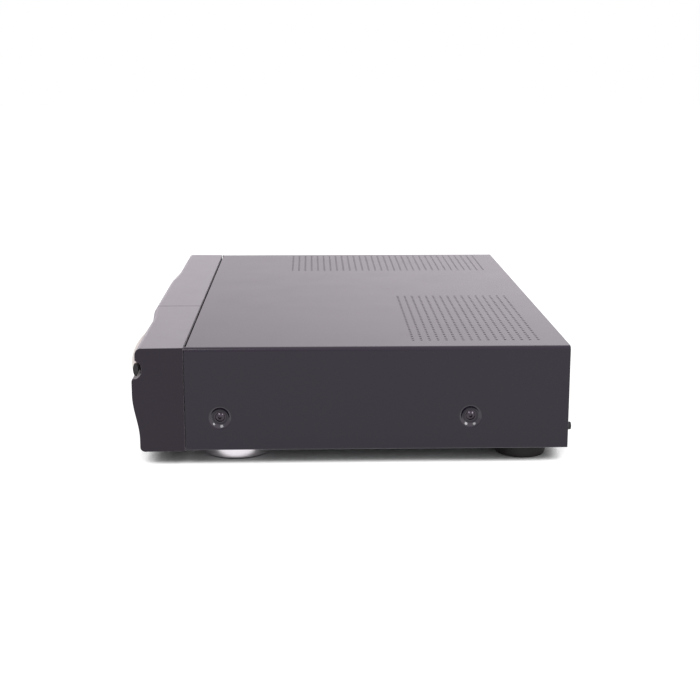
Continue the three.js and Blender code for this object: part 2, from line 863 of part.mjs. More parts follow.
// Control board with its switches, and the display tube on it
function buildFrontBoard() {
  const z = [bottomZ + frontBoardRise, bottomZ + frontBoardRise + frontBoardHeight];
  const y = [-frontBoardDepth, -frontBoardDepth + boardThickness];
  const board = block(about(0, frontBoardWidth), y, z);
  const switches = buttons.map((button) =>
    block(about(button.x, switchSize), [y[0] - switchHeight, y[0] + fitGap], about(button.z, switchSize)),
  );
  const encoder = block(
    about(knob.x, 2 * switchSize),
    [y[0] - switchHeight, y[0] + fitGap],
    about(knob.z, 2 * switchSize),
  );
  const room = jackBodyWidth / 2 + fitGap;
  const notch = block(
    [-frontBoardWidth, jack.x + room],
    [y[0] - overrun, y[1] + overrun],
    [bottomZ, jack.z + room],
  );
  piece("control_board", cut(join(board, ...switches, encoder), notch), boardBrown);

  const tubeRear = y[0] - fitGap;
  const tubeFront = tubeRear - displayDepth;
  const glass = block(about(0, displayWidth), [tubeFront, tubeRear], about(windowZ, displayHeight));
  const pipX = displayWidth / 2 - 2 * displayPip;
  const pip = rod("y", pipX, windowZ, displayPip, [tubeFront - displayPipLength, tubeRear], smallSides);
  piece("display_tube", join(glass, pip), displayGlass);
}

// Case

// Rows of slots as one cutter
function ventCutter(x0, width, slots, columns) {
  const y0 = lastVentY - ventPitch * (columns - 1);
  const pitch = (width + ventBridge) / slots;
  const slotLength = pitch - ventBridge;
  const boxes = [];
  for (let row = 0; row < columns; row++) {
    for (let k = 0; k < slots; k++) {
      const geometry = new THREE.BoxGeometry(slotLength, ventSlotWidth, ventSheetGap);
      geometry.translate(x0 + pitch * k + slotLength / 2, y0 + ventPitch * row, topZ - coverSheet / 2);
      boxes.push(geometry);
    }
  }
  return solid(mergeGeometries(boxes));
}

// Places of the four screws that hold the cover
const screwPlaces = [1, -1].flatMap((side) =>
  [screwFrontY, screwRearY].map((y) => ({ side, y, z: bottomZ + screwHeight })),
);

// Turned solid about a sideways axis, from (radius, distance in from the cover's side) points
function sideways(profile, place, sides = roundSides) {
  const geometry = new THREE.LatheGeometry(
    profile.map(([radius, inward]) => new THREE.Vector2(radius, -inward)),
    sides,
  );
  geometry.rotateZ(-place.side * Math.PI / 2);
  return solid(geometry.translate(place.side * halfWidth, place.y, place.z));
}

// Dish pressed into the side for one screw
function dimple(place, grow) {
  const rim = dimpleDiameter / 2 + grow;
  const floor = dimpleFloorDiameter / 2 + grow;
  const depth = dimpleDepth + grow;
  return sideways([[0, depth], [floor, depth], [rim, grow], [rim, 0], [0, 0]], place);
}

function dimpleCut(place) {
  const rim = dimpleDiameter / 2;
  const floor = dimpleFloorDiameter / 2;
  const profile = [[0, dimpleDepth], [floor, dimpleDepth], [rim, 0], [rim, -overrun], [0, -overrun]];
  return sideways(profile, place);
}

// Clearance hole for a screw's shank, through a side wall
function screwHole(place, wallX) {
  const span = about(place.side * wallX, 4 * dimpleDepth);
  return rod("x", place.y, place.z, screwShankDiameter / 2 + fitGap, span);
}

function buildCover() {
  const outer = roundedRectangle([-halfWidth, halfWidth], [bottomZ, topZ], coverCornerRadius);
  const shell = prism("y", outer, [0, coverDepth]);
  const footZ = [bottomZ, bottomZ + 2 * coverCornerRadius];
  const squareFoot = block([-halfWidth, halfWidth], [0, coverDepth], footZ);
  const roomZ = [bottomZ - overrun, topZ - coverSheet];
  const room = prism(
    "y",
    roundedRectangle([-coverInner, coverInner], roomZ, coverCornerRadius - coverSheet),
    [-overrun, coverDepth + overrun],
  );
  const dishes = screwPlaces.map((place) => dimple(place, coverSheet));
  const dishCuts = screwPlaces.map((place) => dimpleCut(place));
  const holes = screwPlaces.map((place) => screwHole(place, halfWidth));
  const nearVentX = halfWidth - nearVentInset - nearVentWidth;
  const vents = [
    ventCutter(nearVentX, nearVentWidth, nearVentSlots, nearVentColumns),
    ventCutter(farVentInset - halfWidth, farVentWidth, farVentSlots, farVentColumns),
  ];
  const sheet = cut(join(shell, squareFoot), room);
  piece("top_cover", cut(join(sheet, ...dishes), ...dishCuts, ...holes, ...vents), satinBlackSteel);
}

// Cover screws, with a socket in the head
function buildCoverScrews() {
  const names = ["right_front", "right_rear", "left_front", "left_rear"];
  const seat = dimpleDepth - fitGap;
  screwPlaces.forEach((place, i) => {
    const head = screwHeadDiameter / 2;
    const profile = [
      [0, seat + screwShankLength],
      [screwShankDiameter / 2, seat + screwShankLength],
      [screwShankDiameter / 2, seat],
      [head, seat],
      [head, seat - screwHeadHeight / 2],
      [head * Math.SQRT1_2, seat - screwHeadHeight],
      [0, seat - screwHeadHeight],
    ];
    const socketFloor = seat - screwHeadHeight + screwSocketDepth;
    const socketRadius = screwSocketDiameter / 2;
    const socket = [[0, socketFloor], [socketRadius, socketFloor], [socketRadius, -overrun], [0, -overrun]];
    const screw = cut(sideways(profile, place, screwSides), sideways(socket, place, postSides));
    piece("cover_screw_" + names[i], screw, satinBlackSteel);
  });
}

// Steel floor with folded sides, a front flange and posts for the boards
function buildChassis() {
  const side = sideFoldX;
  const rear = rearPanelY - fitGap;
  const floorX = [fitGap - coverInner, coverInner - fitGap];
  const floor = block(floorX, [0, rear], [bottomZ, chassisTop]);
  const foldZ = [bottomZ, chassisTop + sideWallHeight];
  const folds = [[side - chassisSheet, side], [-side, chassisSheet - side]].map((span) =>
    block(span, [0, rear], foldZ),
  );
  const flange = block([-side, side], [0, chassisSheet], [bottomZ, chassisTop + frontFlangeHeight]);
  const cableZ = [chassisTop + cableSlotRise, chassisTop + cableSlotRise + cableSlotHeight];
  const cableSlots = [-deckX / 2, deckX / 2].map((x) =>
    block(about(x, tabWidth), [-overrun, overrun], cableZ),
  );
  const tabZ = [chassisTop - chassisSheet / 2, chassisTop + 2 * chassisSheet + 2 * fitGap];
  const tabSlots = [-deckX, 0, deckX].map((x) =>
    block(about(x, tabWidth + 2 * fitGap), [-overrun, 2 * chassisSheet], tabZ),
  );
  const postZ = [bottomZ, boardBottom - fitGap];
  const posts = boardCorners().map(([x, y]) => rod("z", x, y, boardPostRadius, postZ, postSides));
  const screwHoles = screwPlaces.map((place) => screwHole(place, side));
  const floorVents = [];
  for (let row = 0; row < floorVentRows; row++) {
    const y = coverDepth / 2 + 2 * ventPitch * (row - (floorVentRows - 1) / 2);
    floorVents.push(block(about(0, tabWidth), about(y, ventBridge), [0, chassisTop + overrun]));
  }
  const sheet = cut(join(floor, ...folds, flange), ...cableSlots, ...tabSlots, ...floorVents, ...screwHoles);
  piece("bottom_chassis", join(sheet, ...posts), zincSteel);
}

const boardFront = rearPanelY - rearBoardGap - mainBoardDepth;
const boardSpanY = [boardFront, boardFront + mainBoardDepth];

function boardCorners() {
  const places = [[mainBoardX, mainBoardWidth], [powerBoardX, powerBoardWidth]];
  const rows = [boardSpanY[0] + boardMargin, boardSpanY[1] - boardMargin - jackBlockDepth];
  return places.flatMap(([x, width]) =>
    about(x, width - 2 * boardMargin).flatMap((cornerX) => rows.map((y) => [cornerX, y])),
  );
}

// Electronic board with chips and capacitors on it
function populatedBoard(x, width, chips, capacitors) {
  const board = block(about(x, width), boardSpanY, [boardBottom, boardTop]);
  const chipZ = [boardBottom, boardTop + chipHeight];
  const chipBlocks = chips.map(([cx, cy]) => block(about(cx, chipWidth), about(cy, chipWidth), chipZ));
  const canZ = [boardBottom, boardTop + capacitorHeight];
  const cans = capacitors.map(([cx, cy]) => rod("z", cx, cy, capacitorRadius, canZ, screwSides));
  return join(board, ...chipBlocks, ...cans);
}

const jackZ = bottomZ + jackRowHeight;

// Rear electronics
function buildElectronics() {
  const middleY = (boardSpanY[0] + boardSpanY[1]) / 2;
  const chips = rowShares.map((step) => [mainBoardX + step * 2 * chipWidth, middleY]);
  const canX = analogJackX - 2 * jackPitch;
  const canY = boardSpanY[0] + 2 * capacitorRadius;
  const cans = rowShares.map((step) => [canX + step * 3 * capacitorRadius, canY]);
  piece("main_board", populatedBoard(mainBoardX, mainBoardWidth, chips, cans), boardGreen);

  const powerCanX = powerBoardX + powerBoardWidth / 2 - 2 * capacitorRadius;
  const powerCans = [1, 2, 3].map((k) => [powerCanX, boardSpanY[0] + 3 * k * capacitorRadius]);
  piece("power_board", populatedBoard(powerBoardX, powerBoardWidth, [], powerCans), boardBrown);

  const transformerX = powerBoardX - powerBoardWidth / 2 + transformerWidth / 2 + boardMargin;
  const transformerY = boardSpanY[0] + boardMargin + 2 * boardPostRadius + transformerDepth / 2;
  const base = boardTop + fitGap;
  const core = block(
    about(transformerX, transformerWidth),
    about(transformerY, transformerDepth - 2 * windingInset),
    [base, base + transformerHeight],
  );
  const winding = prism(
    "z",
    roundedRectangle(
      about(transformerX, transformerWidth - 2 * windingInset),
      about(transformerY, transformerDepth - 2 * windingInset + 2 * windingBulge),
      windingBulge / 2,
    ),
    [base + windingInset, base + transformerHeight - windingInset],
  );
  piece("transformer", join(core, winding), ironCore);

  const sinkX = transformerX + transformerWidth / 2 + heatSinkGap;
  const sinkY = about(middleY, heatSinkLength);
  const plate = block(about(sinkX, heatSinkWidth), sinkY, [base, base + heatSinkHeight]);
  const fins = Array.from({ length: finCount }, (_, k) =>
    block(
      [sinkX, sinkX + heatSinkWidth / 2 + finDepth],
      about(sinkY[0] + (heatSinkLength * (k + 0.5)) / finCount, finThickness),
      [base, base + heatSinkHeight],
    ),
  );
  piece("heat_sink", join(plate, ...fins), blackAluminium);
}

// One socket's barrel, standing out of the rear
function barrelSocket(x, z, radius, bore, proud) {
  const rear = coverDepth + proud;
  const barrel = rod("y", x, z, radius, [rearPanelY - overrun, rear], smallSides);
  const core = rod("y", x, z, bore, [rearPanelY, rear + overrun], smallSides);
  return cut(barrel, core);
}

function phonoBarrel(x, z) {
  return barrelSocket(x, z, jackRadius, jackCoreRadius, jackProud);
}

// Sockets on the rear
function buildSockets() {
  const rows = [jackZ, jackZ + jackPitch];
  const inside = [rearPanelY - jackBlockDepth - fitGap, rearPanelY - fitGap];
  const blockZ = [boardTop + fitGap, rows[1] + jackPitch / 2];

  const analogX = [analogJackX - analogJackSpacing, analogJackX - analogJackSpacing - jackPitch];
  const analogBody = block([analogX[1] - jackPitch / 2, analogJackX + jackPitch / 2], inside, blockZ);
  const analogBarrels = analogX.flatMap((x) => rows.map((z) => phonoBarrel(x, z)));
  const miniJack = barrelSocket(analogJackX, rows[0], miniJackRadius, miniJackBore, miniJackProud);
  piece("analog_sockets", join(analogBody, ...analogBarrels, miniJack), blackPlastic);

  const opticalX = digitalJackX + jackPitch;
  const digitalBody = block([digitalJackX - jackPitch / 2, opticalX + jackPitch / 2], inside, blockZ);
  const digitalBarrels = rows.map((z) => phonoBarrel(digitalJackX, z));
  const opticalY = [inside[1] - fitGap, coverDepth + fitGap];
  const optical = rows.map((z) => block(about(opticalX, opticalSize), opticalY, about(z, opticalSize)));
  piece("digital_sockets", join(digitalBody, ...digitalBarrels, ...optical), greyPlastic);

  const z = bottomZ + inletCentreHeight;
  const shellY = [coverDepth - inletDepth, coverDepth];
  const shell = block(about(inletX, inletWidth), shellY, about(z, inletHeight));
  const flange = prism(
    "y",
    roundedRectangle(
      about(inletX, inletWidth + 2 * inletFlange),
      about(z, inletHeight + 2 * inletFlange),
      buttonRadius,
    ),
    [rearPanelY + chassisSheet + fitGap, coverDepth + chassisSheet],
  );
  const socketY = [coverDepth - inletDepth + fasciaWall, coverDepth + overrun];
  const lobes = [-1, 1].map((hand) =>
    rod("y", inletX + (hand * (inletSocketWidth - inletSocketHeight)) / 2, z, inletSocketHeight / 2, socketY),
  );
  const waistWidth = inletSocketWidth - inletSocketHeight;
  const waist = block(about(inletX, waistWidth), socketY, about(z, inletSocketHeight - 2 * fitGap));
  const pinY = [coverDepth - inletDepth, coverDepth - fasciaWall];
  const pins = about(inletX, inletPinSpacing).map((x) => rod("y", x, z, inletPinRadius, pinY, smallSides));
  piece("mains_inlet", join(cut(join(shell, flange), ...lobes, waist), ...pins), blackPlastic);

  const plate = prism(
    "y",
    roundedRectangle(
      [-coverInner + fitGap, coverInner - fitGap],
      [bottomZ, topZ - coverSheet - fitGap],
      coverCornerRadius - coverSheet,
    ),
    [rearPanelY, rearPanelY + chassisSheet],
  );
  const through = [rearPanelY - overrun, coverDepth];
  const opticalHole = opticalSize + 2 * fitGap;
  const barrelHoles = [...analogX, digitalJackX].flatMap((x) =>
    rows.map((rowZ) => rod("y", x, rowZ, jackRadius + fitGap, through)),
  );
  const miniHole = rod("y", analogJackX, rows[0], miniJackRadius + fitGap, through);
  const opticalHoles = rows.map((rowZ) =>
    block(about(opticalX, opticalHole), through, about(rowZ, opticalHole)),
  );
  const inletHole = block(
    about(inletX, inletWidth + 2 * fitGap),
    through,
    about(z, inletHeight + 2 * fitGap),
  );
  piece("rear_panel", cut(plate, ...barrelHoles, miniHole, ...opticalHoles, inletHole), satinBlackSteel);
}

// Feet: a turned cup with a shoulder and a recessed pad
function buildFeet() {
  const frontX = halfWidth - frontFootInset;
  const rearX = halfWidth - rearFootInset;
  const rearY = coverDepth - rearFootRearInset;
  const foot = (diameter, x, y) => {
    const radius = diameter / 2;
    return turned([
      [0, footPadRecess],
      [radius - footPadInset - footRim, footPadRecess],
      [radius - footPadInset - footRim, 0],
      [radius - footPadInset, 0],
      [radius - footPadInset / 2, footRim / 2],
      [radius, footHeight - footRim / 2],
      [radius - footRim / 2, footHeight - fitGap / 3],
      [0, footHeight - fitGap / 3],
    ], x, y);
  };
  piece("foot_front_right", foot(frontFootDiameter, frontX, frontFootInset), silverPaint);
  piece("foot_front_left", foot(frontFootDiameter, -frontX, frontFootInset), silverPaint);
  piece("foot_rear_right", foot(rearFootDiameter, rearX, rearY), rubber);
  piece("foot_rear_left", foot(rearFootDiameter, -rearX, rearY), rubber);
}

// Disc deck, in its own frame: X = 0 is the deck's middle

// Tray with two disc recesses, a slot open to the rear, tongues and a rack under one side
function trayShape() {
  const half = trayWidth / 2;
  const front = -doorRearDepth + fitGap;
  const length = [front, trayRear];
  const slab = block([-half, half], length, [trayBottom, trayTop]);
  const above = [trayFloor, trayTop + overrun];
  const through = [trayBottom - overrun, trayTop + overrun];
  const tongues = block(
    [-half - trayTongue, half + trayTongue],
    [-frontBoardDepth + 2 * fitGap, trayRear],
    [trayUnderFloor, trayFloor],
  );
  const recess = rod("z", 0, trayCentreY, discDiameter / 2 + discClearance, above, discSides);
  const smallRadius = smallDiscDiameter / 2 + discClearance;
  const smallSpan = [trayFloor - smallRecessDepth, trayTop];
  const innerRecess = rod("z", 0, trayCentreY, smallRadius, smallSpan, smallDiscSides);
  const slotHalf = traySlotWidth / 2;
  const slotRound = rod("z", 0, trayCentreY, slotHalf, through, slotSides);
  const slot = block([-slotHalf, slotHalf], [trayCentreY, trayRear + overrun], through);
  const notches = [-1, 1].map((hand) => rod("z", hand * half, trayCentreY, fingerNotchRadius, above));
  const pocketZ = [trayBottom - overrun, trayUnderFloor];
  const innerWall = slotHalf + trayRib;
  const pocketFront = front + 2 * trayRib;
  const laneX = [rackX - gearRootShare * gearModule, -innerWall];
  const gearLane = block(laneX, [pocketFront, trayRear + overrun], pocketZ);
  const rearPocket = block([innerWall, half - trayRib], [trayCentreY, trayRear - trayRib], pocketZ);
  const frontPocket = block(
    [-innerWall + trayRib, half - trayRib],
    [pocketFront, trayCentreY - slotHalf - trayRib],
    pocketZ,
  );
  const hollows = [recess, innerRecess, slotRound, slot, ...notches, gearLane, rearPocket, frontPocket];
  return join(cut(join(slab, tongues), ...hollows), rackShape());
}

// Straight rack whose teeth point to +X, in mesh with the drive gear
function rackShape() {
  const pitch = Math.PI * gearModule;
  const rootX = rackX - gearRootShare * gearModule;
  const tipX = rackX + gearTipShare * gearModule;
  const firstTooth = Math.ceil((rackFront - gearY) / pitch) + 0.5;
  const count = Math.floor((rackRear - gearY) / pitch - firstTooth + 0.5);
  const points = [[rootX - rackBack, rackFront]];
  points.push([rootX, rackFront]);
  for (let k = 0; k < count; k++) {
    const y = gearY + (firstTooth + k) * pitch;
    rackToothShares.forEach((share, i) => {
      points.push([i === 0 || i === 3 ? rootX : tipX, y + share * pitch]);
    });
  }
  points.push([rootX, rackRear]);
  points.push([rootX - rackBack, rackRear]);
  return prism("z", points, [trayBottom, trayUnderFloor + fitGap]);
}

// Frame that carries the tray, the base unit and the drive
function frameShape() {
  const inner = frameInner;
  const outer = frameOuter;
  const y = [frameFront, frameRear];
  const floorTop = frameBase + frameFloor;
  const floor = block([-outer, outer], y, [frameBase, floorTop]);
  const walls = [[-outer, -inner], [inner, outer]].map((span) => block(span, y, [frameBase, frameTop]));
  const window = block(
    about(0, frameWindowWidth),
    [frameWindowFront, frameWindowRear],
    [frameBase - overrun, floorTop + overrun],
  );
  const ledgeSpans = [
    [trayUnderFloor - runGap - frameLedge, trayUnderFloor - runGap],
    [trayFloor + runGap, trayFloor + runGap + frameLedge],
  ];
  const railInner = trayWidth / 2 + runGap;
  const ledges = ledgeSpans.flatMap((z) => [
    block([-inner - fitGap, -railInner], y, z),
    block([railInner, inner + fitGap], y, z),
  ]);
  const barZ = [frameBase, frameBase + frameRearBar];
  const rearBar = block([-outer, outer], [frameRear - frameWall, frameRear], barZ);
  const gearPost = rod("z", gearX, gearY, gearPostRadius, [frameBase, gearZ[1]]);
  const motorHole = rod("z", motorX, motorY, motorRadius / 2, [frameBase - overrun, floorTop + overrun]);
  const postZ = [chassisTop + fitGap, floorTop];
  const posts = [-1, 1].flatMap((hand) =>
    [2 * framePostRadius, frameRear - framePostRadius].map((postY) =>
      rod("z", hand * (outer - framePostRadius), postY, framePostRadius, postZ, postSides),
    ),
  );
  const lugs = [-1, 1].map((hand) => {
    const near = frameWindowWidth / 2;
    const span = [hand * near, hand * (near + lugThickness)].sort((a, b) => a - b);
    const lug = block(span, about(basePinY, lugHeight), [frameBase, basePinZ + lugHeight / 2]);
    const boreSpan = [span[0] - overrun, span[1] + overrun];
    return cut(lug, rod("x", basePinY, basePinZ, basePinRadius + runGap, boreSpan));
  });
  const guideX = [-camReach[1] - runGap, camReach[1] + camTravel];
  const guideWall = [camFootFront - runGap - camThickness, camFootFront - runGap];
  const guideTop = floorTop + camThickness + 2 * runGap;
  const camGuide = join(
    block(guideX, guideWall, [frameBase, guideTop + camThickness]),
    block(guideX, [guideWall[0], camFootFront + camThickness], [guideTop, guideTop + camThickness]),
  );
  const fittings = [...walls, ...ledges, rearBar, gearPost, ...posts, ...lugs, camGuide];
  return join(cut(floor, window, motorHole), ...fittings);
}

// Slider that moves sideways and lets the base unit's pin down its slanted slot
function camShape() {
  const floorTop = frameBase + frameFloor;
  const drop = (basePinY - camMiddleY) * Math.sin(THREE.MathUtils.degToRad(baseTiltDegrees));
  const slope = Math.atan2(drop, camTravel);
  const halfSlot = (liftPinRadius + runGap) / Math.cos(slope);
  const high = basePinZ;
  const low = basePinZ - drop;
  const slot = [
    [camDwell, high + halfSlot],
    [0, high + halfSlot],
    [-camTravel, low + halfSlot],
    [-camTravel - camDwell, low + halfSlot],
    [-camTravel - camDwell, low - halfSlot],
    [-camTravel, low - halfSlot],
    [0, high - halfSlot],
    [camDwell, high - halfSlot],
  ];
  const margin = halfSlot + camMargin / 2;
  const plateSpan = about(camMiddleY, camThickness);
  const plate = prism(
    "y",
    [
      [camReach[1], high + margin],
      [-camReach[1] / 2, high + margin],
      [camReach[0], low + 2 * margin],
      [camReach[0], low - margin],
      [0, low - margin],
      [camReach[1], high - margin],
    ],
    plateSpan,
  );
  const footZ = [floorTop + runGap, floorTop + runGap + camThickness];
  const foot = block(camReach, [camFootFront, plateSpan[1]], footZ);
  return cut(join(plate, foot), prism("y", slot, [plateSpan[0] - overrun, plateSpan[1] + overrun]));
}

// Wheel with a belt pulley below and a toothed rim above
function driveGearShape() {
  const pulleyBottom = frameBase + frameFloor + 2 * runGap;
  const pulleyZ = [pulleyBottom, pulleyBottom + pulleyThickness];
  const bore = rod("z", gearX, gearY, gearPostRadius + runGap, [pulleyZ[0] - overrun, gearZ[1] + overrun]);
  const pulley = turned(
    [
      [0, pulleyZ[0]],
      [pulleyRadius, pulleyZ[0]],
      [pulleyRadius - pulleyGrooveDepth, (pulleyZ[0] + pulleyZ[1]) / 2],
      [pulleyRadius, pulleyZ[1]],
      [0, pulleyZ[1]],
    ],
    gearX,
    gearY,
  );
  const hub = rod("z", gearX, gearY, gearHubRadius, [pulleyZ[0], gearZ[1]]);
  const teeth = gearOutline(gearTeeth, gearModule).map(([a, b]) => [gearX + a, gearY + b]);
  return cut(join(pulley, hub, prism("z", teeth, gearZ)), bore);
}

// Motor under the frame floor, with a small belt pulley above it
function loadingMotorShape() {
  const top = frameBase - fitGap;
  const pulleyBottom = frameBase + frameFloor + 2 * runGap;
  return join(
    rod("z", motorX, motorY, motorRadius, [top - motorLength, top], roundSides),
    rod("z", motorX, motorY, motorShaftRadius, [top - motorLength, pulleyBottom + pulleyThickness], 8),
    rod("z", motorX, motorY, motorPulleyRadius, [pulleyBottom, pulleyBottom + pulleyThickness]),
  );
}

// Die-cast base with two guide rods, its rear pins and the pin that rides in the cam slot
function baseUnitShape() {
  const half = baseWidth / 2;
  const plateZ = [baseLevel, baseTop];
  const plate = block([-half, half], [baseFront, baseRear], plateZ);
  const arms = [-1, 1].map((hand) => {
    const span = [hand * (half - baseArmWidth), hand * half].sort((a, b) => a - b);
    return block(span, [baseRear - overrun, basePinY + basePinRadius], plateZ);
  });
  const pins = [-1, 1].map((hand) => {
    const span = [hand * (half - baseArmWidth), hand * (half + basePinLength)].sort((a, b) => a - b);
    return rod("x", basePinY, basePinZ, basePinRadius, span);
  });
  const liftPin = rod("y", 0, basePinZ, liftPinRadius, [baseFront - liftPinLength, baseFront + overrun]);
  const through = [baseLevel - overrun, baseTop + overrun];
  const bossHole = rod("z", 0, trayCentreY, spindleBossRadius + fitGap, through, screwSides);
  const opticsFront = sledRestY - sledOpticsLength / 2;
  const opticsHole = block(
    about(0, sledOpticsWidth + 4 * runGap),
    [opticsFront - 2 * runGap, opticsFront + sledOpticsLength + sledTravel + 2 * runGap],
    through,
  );
  const railSpan = [railFront - railBlock / 2, railRear + railBlock / 2];
  const rails = about(0, railSpacing).map((x) => rod("y", x, railZ, railRadius, railSpan));
  const blockZ = [baseTop - chassisSheet, railZ + railRise];
  const railEnds = [-1, 1].flatMap((hand) =>
    [about(railFront - railBlock / 2, railBlock), about(railRear + railBlock / 2, railBlock)].map((span) =>
      block(about((hand * railSpacing) / 2, 2 * railBlock), span, blockZ),
    ),
  );
  const bearing = railBlock + leadScrewRadius;
  const bearings = [
    block(about(screwX, bearing), about(railFront - railBlock / 2, railBlock), blockZ),
    block(about(screwX, bearing), [railRear, railRear + railBlock], blockZ),
  ];
  const screwBoreY = [railFront - railBlock + chassisSheet, railRear + railBlock];
  const screwBore = rod("y", screwX, railZ, leadScrewRadius + runGap, screwBoreY);
  const motor = block(
    about(screwX, bearing + chassisSheet),
    [railRear + railBlock - chassisSheet / 2, railRear + sledMotorLength],
    [blockZ[0], railZ + railRise + chassisSheet / 2],
  );
  const solids = join(plate, ...arms, ...pins, liftPin, ...railEnds, ...bearings, motor);
  return join(cut(solids, bossHole, opticsHole, screwBore), ...rails);
}

// Disc motor under the base, with a boss up to the turntable
function spindleMotorShape() {
  const top = baseLevel - fitGap;
  return join(
    rod("z", 0, trayCentreY, spindleMotorRadius, [top - spindleMotorHeight, top], roundSides),
    rod("z", 0, trayCentreY, spindleBossRadius, [top - spindleMotorHeight / 2, baseTop + fitGap]),
  );
}

// Turntable with its centring cone
function turntableShape() {
  const seatBottom = discSeat - turntableThickness;
  return turned(
    [
      [0, baseTop + 2 * fitGap],
      [spindleHubRadius, baseTop + 2 * fitGap],
      [spindleHubRadius, seatBottom],
      [turntableRadius, seatBottom],
      [turntableRadius, discSeat],
      [hubConeRadius, discSeat],
      [hubConeRadius - hubConeHeight / 2, discSeat + hubConeHeight],
      [0, discSeat + hubConeHeight],
    ],
    0,
    trayCentreY,
    roundSides,
  );
}

// Sled with its lens, which slides on the two rods
function sledShape() {
  const bottom = baseTop + 2 * fitGap;
  const top = bottom + sledThickness;
  const y = about(sledRestY, sledLength);
  const bodyBlock = block(about(0, sledWidth), y, [bottom, top]);
  const nutX = [sledWidth / 2 - overrun, screwX + nutWidth / 2];
  const nut = block(nutX, about(sledRestY, nutLength), [bottom, top]);
  const optics = block(
    about(0, sledOpticsWidth),
    about(sledRestY, sledOpticsLength),
    [bottom - sledOpticsDrop, bottom + fitGap],
  );
  const lensRingZ = [top - fitGap, top + lensHeight / 3];
  const lensRing = rod("z", 0, sledRestY, lensRingRadius, lensRingZ, screwSides);
  const lens = turned(
    [
      [0, top - fitGap],
      [lensRadius, top - fitGap],
      [lensRadius, top + lensHeight * lensRimShare],
      [lensRadius * lensTopShare, top + lensHeight],
      [0, top + lensHeight],
    ],
    0,
    sledRestY,
    screwSides,
  );
  const through = [y[0] - overrun, y[1] + overrun];
  const eye = rod("y", -railSpacing / 2, railZ, railRadius + runGap, through);
  const forkSize = 2 * (railRadius + runGap);
  const fork = block(about(railSpacing / 2, forkSize), through, about(railZ, forkSize));
  const nutHole = rod("y", screwX, railZ, leadScrewRadius + runGap, through);
  return join(cut(join(bodyBlock, nut, optics), eye, fork, nutHole), lensRing, lens);
}

function leadScrewShape() {
  const span = [railFront - railBlock + 2 * chassisSheet, railRear + railBlock - chassisSheet];
  return rod("y", screwX, railZ, leadScrewRadius, span);
}

// Steel strip across the frame that holds the clamp puck over the disc
function bridgeShape() {
  const outer = frameOuter;
  const z = [frameTop + fitGap, frameTop + fitGap + bridgeSheet];
  const waist = bridgeDepth / 3;
  const strip = prism(
    "z",
    [
      [-outer, trayCentreY - waist],
      [-bridgeHoleRadius, trayCentreY - bridgeDepth / 2],
      [bridgeHoleRadius, trayCentreY - bridgeDepth / 2],
      [outer, trayCentreY - waist],
      [outer, trayCentreY + waist],
      [bridgeHoleRadius, trayCentreY + bridgeDepth / 2],
      [-bridgeHoleRadius, trayCentreY + bridgeDepth / 2],
      [-outer, trayCentreY + waist],
    ],
    z,
  );
  const hole = rod("z", 0, trayCentreY, bridgeHoleRadius, [z[0] - overrun, z[1] + overrun], roundSides);
  const innerX = bridgeHoleRadius + chassisSheet;
  const ribZ = [z[0], z[1] + bridgeSheet];
  const stiffeners = [-1, 1].map((hand) => {
    const y = about(trayCentreY + hand * (waist - chassisSheet), chassisSheet);
    return join(block([-outer, -innerX], y, ribZ), block([innerX, outer], y, ribZ));
  });
  return cut(join(strip, ...stiffeners), hole);
}

// Puck that presses the disc on the turntable: a plate below the bridge and a flange above it
function puckShape() {
  const bottom = discSeat + discHeight + 2 * fitGap;
  const seat = frameTop + fitGap + bridgeSheet + fitGap;
  return turned(
    [
      [0, bottom + puckRecessDepth],
      [puckRecessRadius, bottom + puckRecessDepth],
      [puckRecessRadius, bottom],
      [puckRadius, bottom],
      [puckRadius, bottom + puckPlate],
      [puckNeckRadius, bottom + puckPlate],
      [puckNeckRadius, seat],
      [puckFlangeRadius, seat],
      [puckFlangeRadius, seat + puckFlangeThickness],
      [0, seat + puckFlangeThickness],
    ],
    0,
    trayCentreY,
    roundSides,
  );
}

// One deck of the recorder
function buildDeck(side, suffix) {
  const deck = new THREE.Group();
  deck.position.x = side * deckX;
  body.add(deck);
  piece("loader_frame_" + suffix, frameShape(), blackPlastic, deck);
  piece("disc_tray_" + suffix, trayShape(), greyPlastic, deck);
  piece("base_unit_" + suffix, baseUnitShape(), diecast, deck);
  piece("spindle_motor_" + suffix, spindleMotorShape(), brightSteel, deck);
  piece("turntable_" + suffix, turntableShape(), whitePlastic, deck);
  piece("optical_sled_" + suffix, sledShape(), blackPlastic, deck);
  piece("lead_screw_" + suffix, leadScrewShape(), brightSteel, deck);
  piece("loading_motor_" + suffix, loadingMotorShape(), brightSteel, deck);
  piece("drive_gear_" + suffix, driveGearShape(), whitePlastic, deck);
  piece("cam_slider_" + suffix, camShape(), whitePlastic, deck);
  piece("clamp_bridge_" + suffix, bridgeShape(), zincSteel, deck);
  piece("clamp_puck_" + suffix, puckShape(), blackPlastic, deck);
  buildDoor("tray_door_" + suffix, side);
}

buildFascia();
buildCentreTrim();
buildButtons();
buildKnob();
buildPhonesJack();
buildFrontBoard();
buildCover();
buildCoverScrews();
buildChassis();
buildElectronics();
buildSockets();
buildFeet();
buildDeck(-1, "left");
buildDeck(1, "right");

// The part's origin is the middle of its box, on the surface it stands on
const frontMost = Math.max(...doorStationShares.map((share) => doorFront(1, share)));
const rearMost = coverDepth + jackProud;
body.position.y = (frontMost - rearMost) / 2;

export default root;
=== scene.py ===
"""The looks of a dual-deck disc recorder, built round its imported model.

Sizes are in millimetres while a piece is made: Y = 0 is the seam between the fascia and the top cover,
-Y is the front, Z = 0 is the table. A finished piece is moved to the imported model's frame, in metres.
"""

import json
import logging
import math
from collections.abc import Callable, Iterable, Iterator, Sequence
from contextlib import contextmanager
from dataclasses import dataclass
from enum import Enum

import bmesh
import bpy
from mathutils import Matrix, Vector

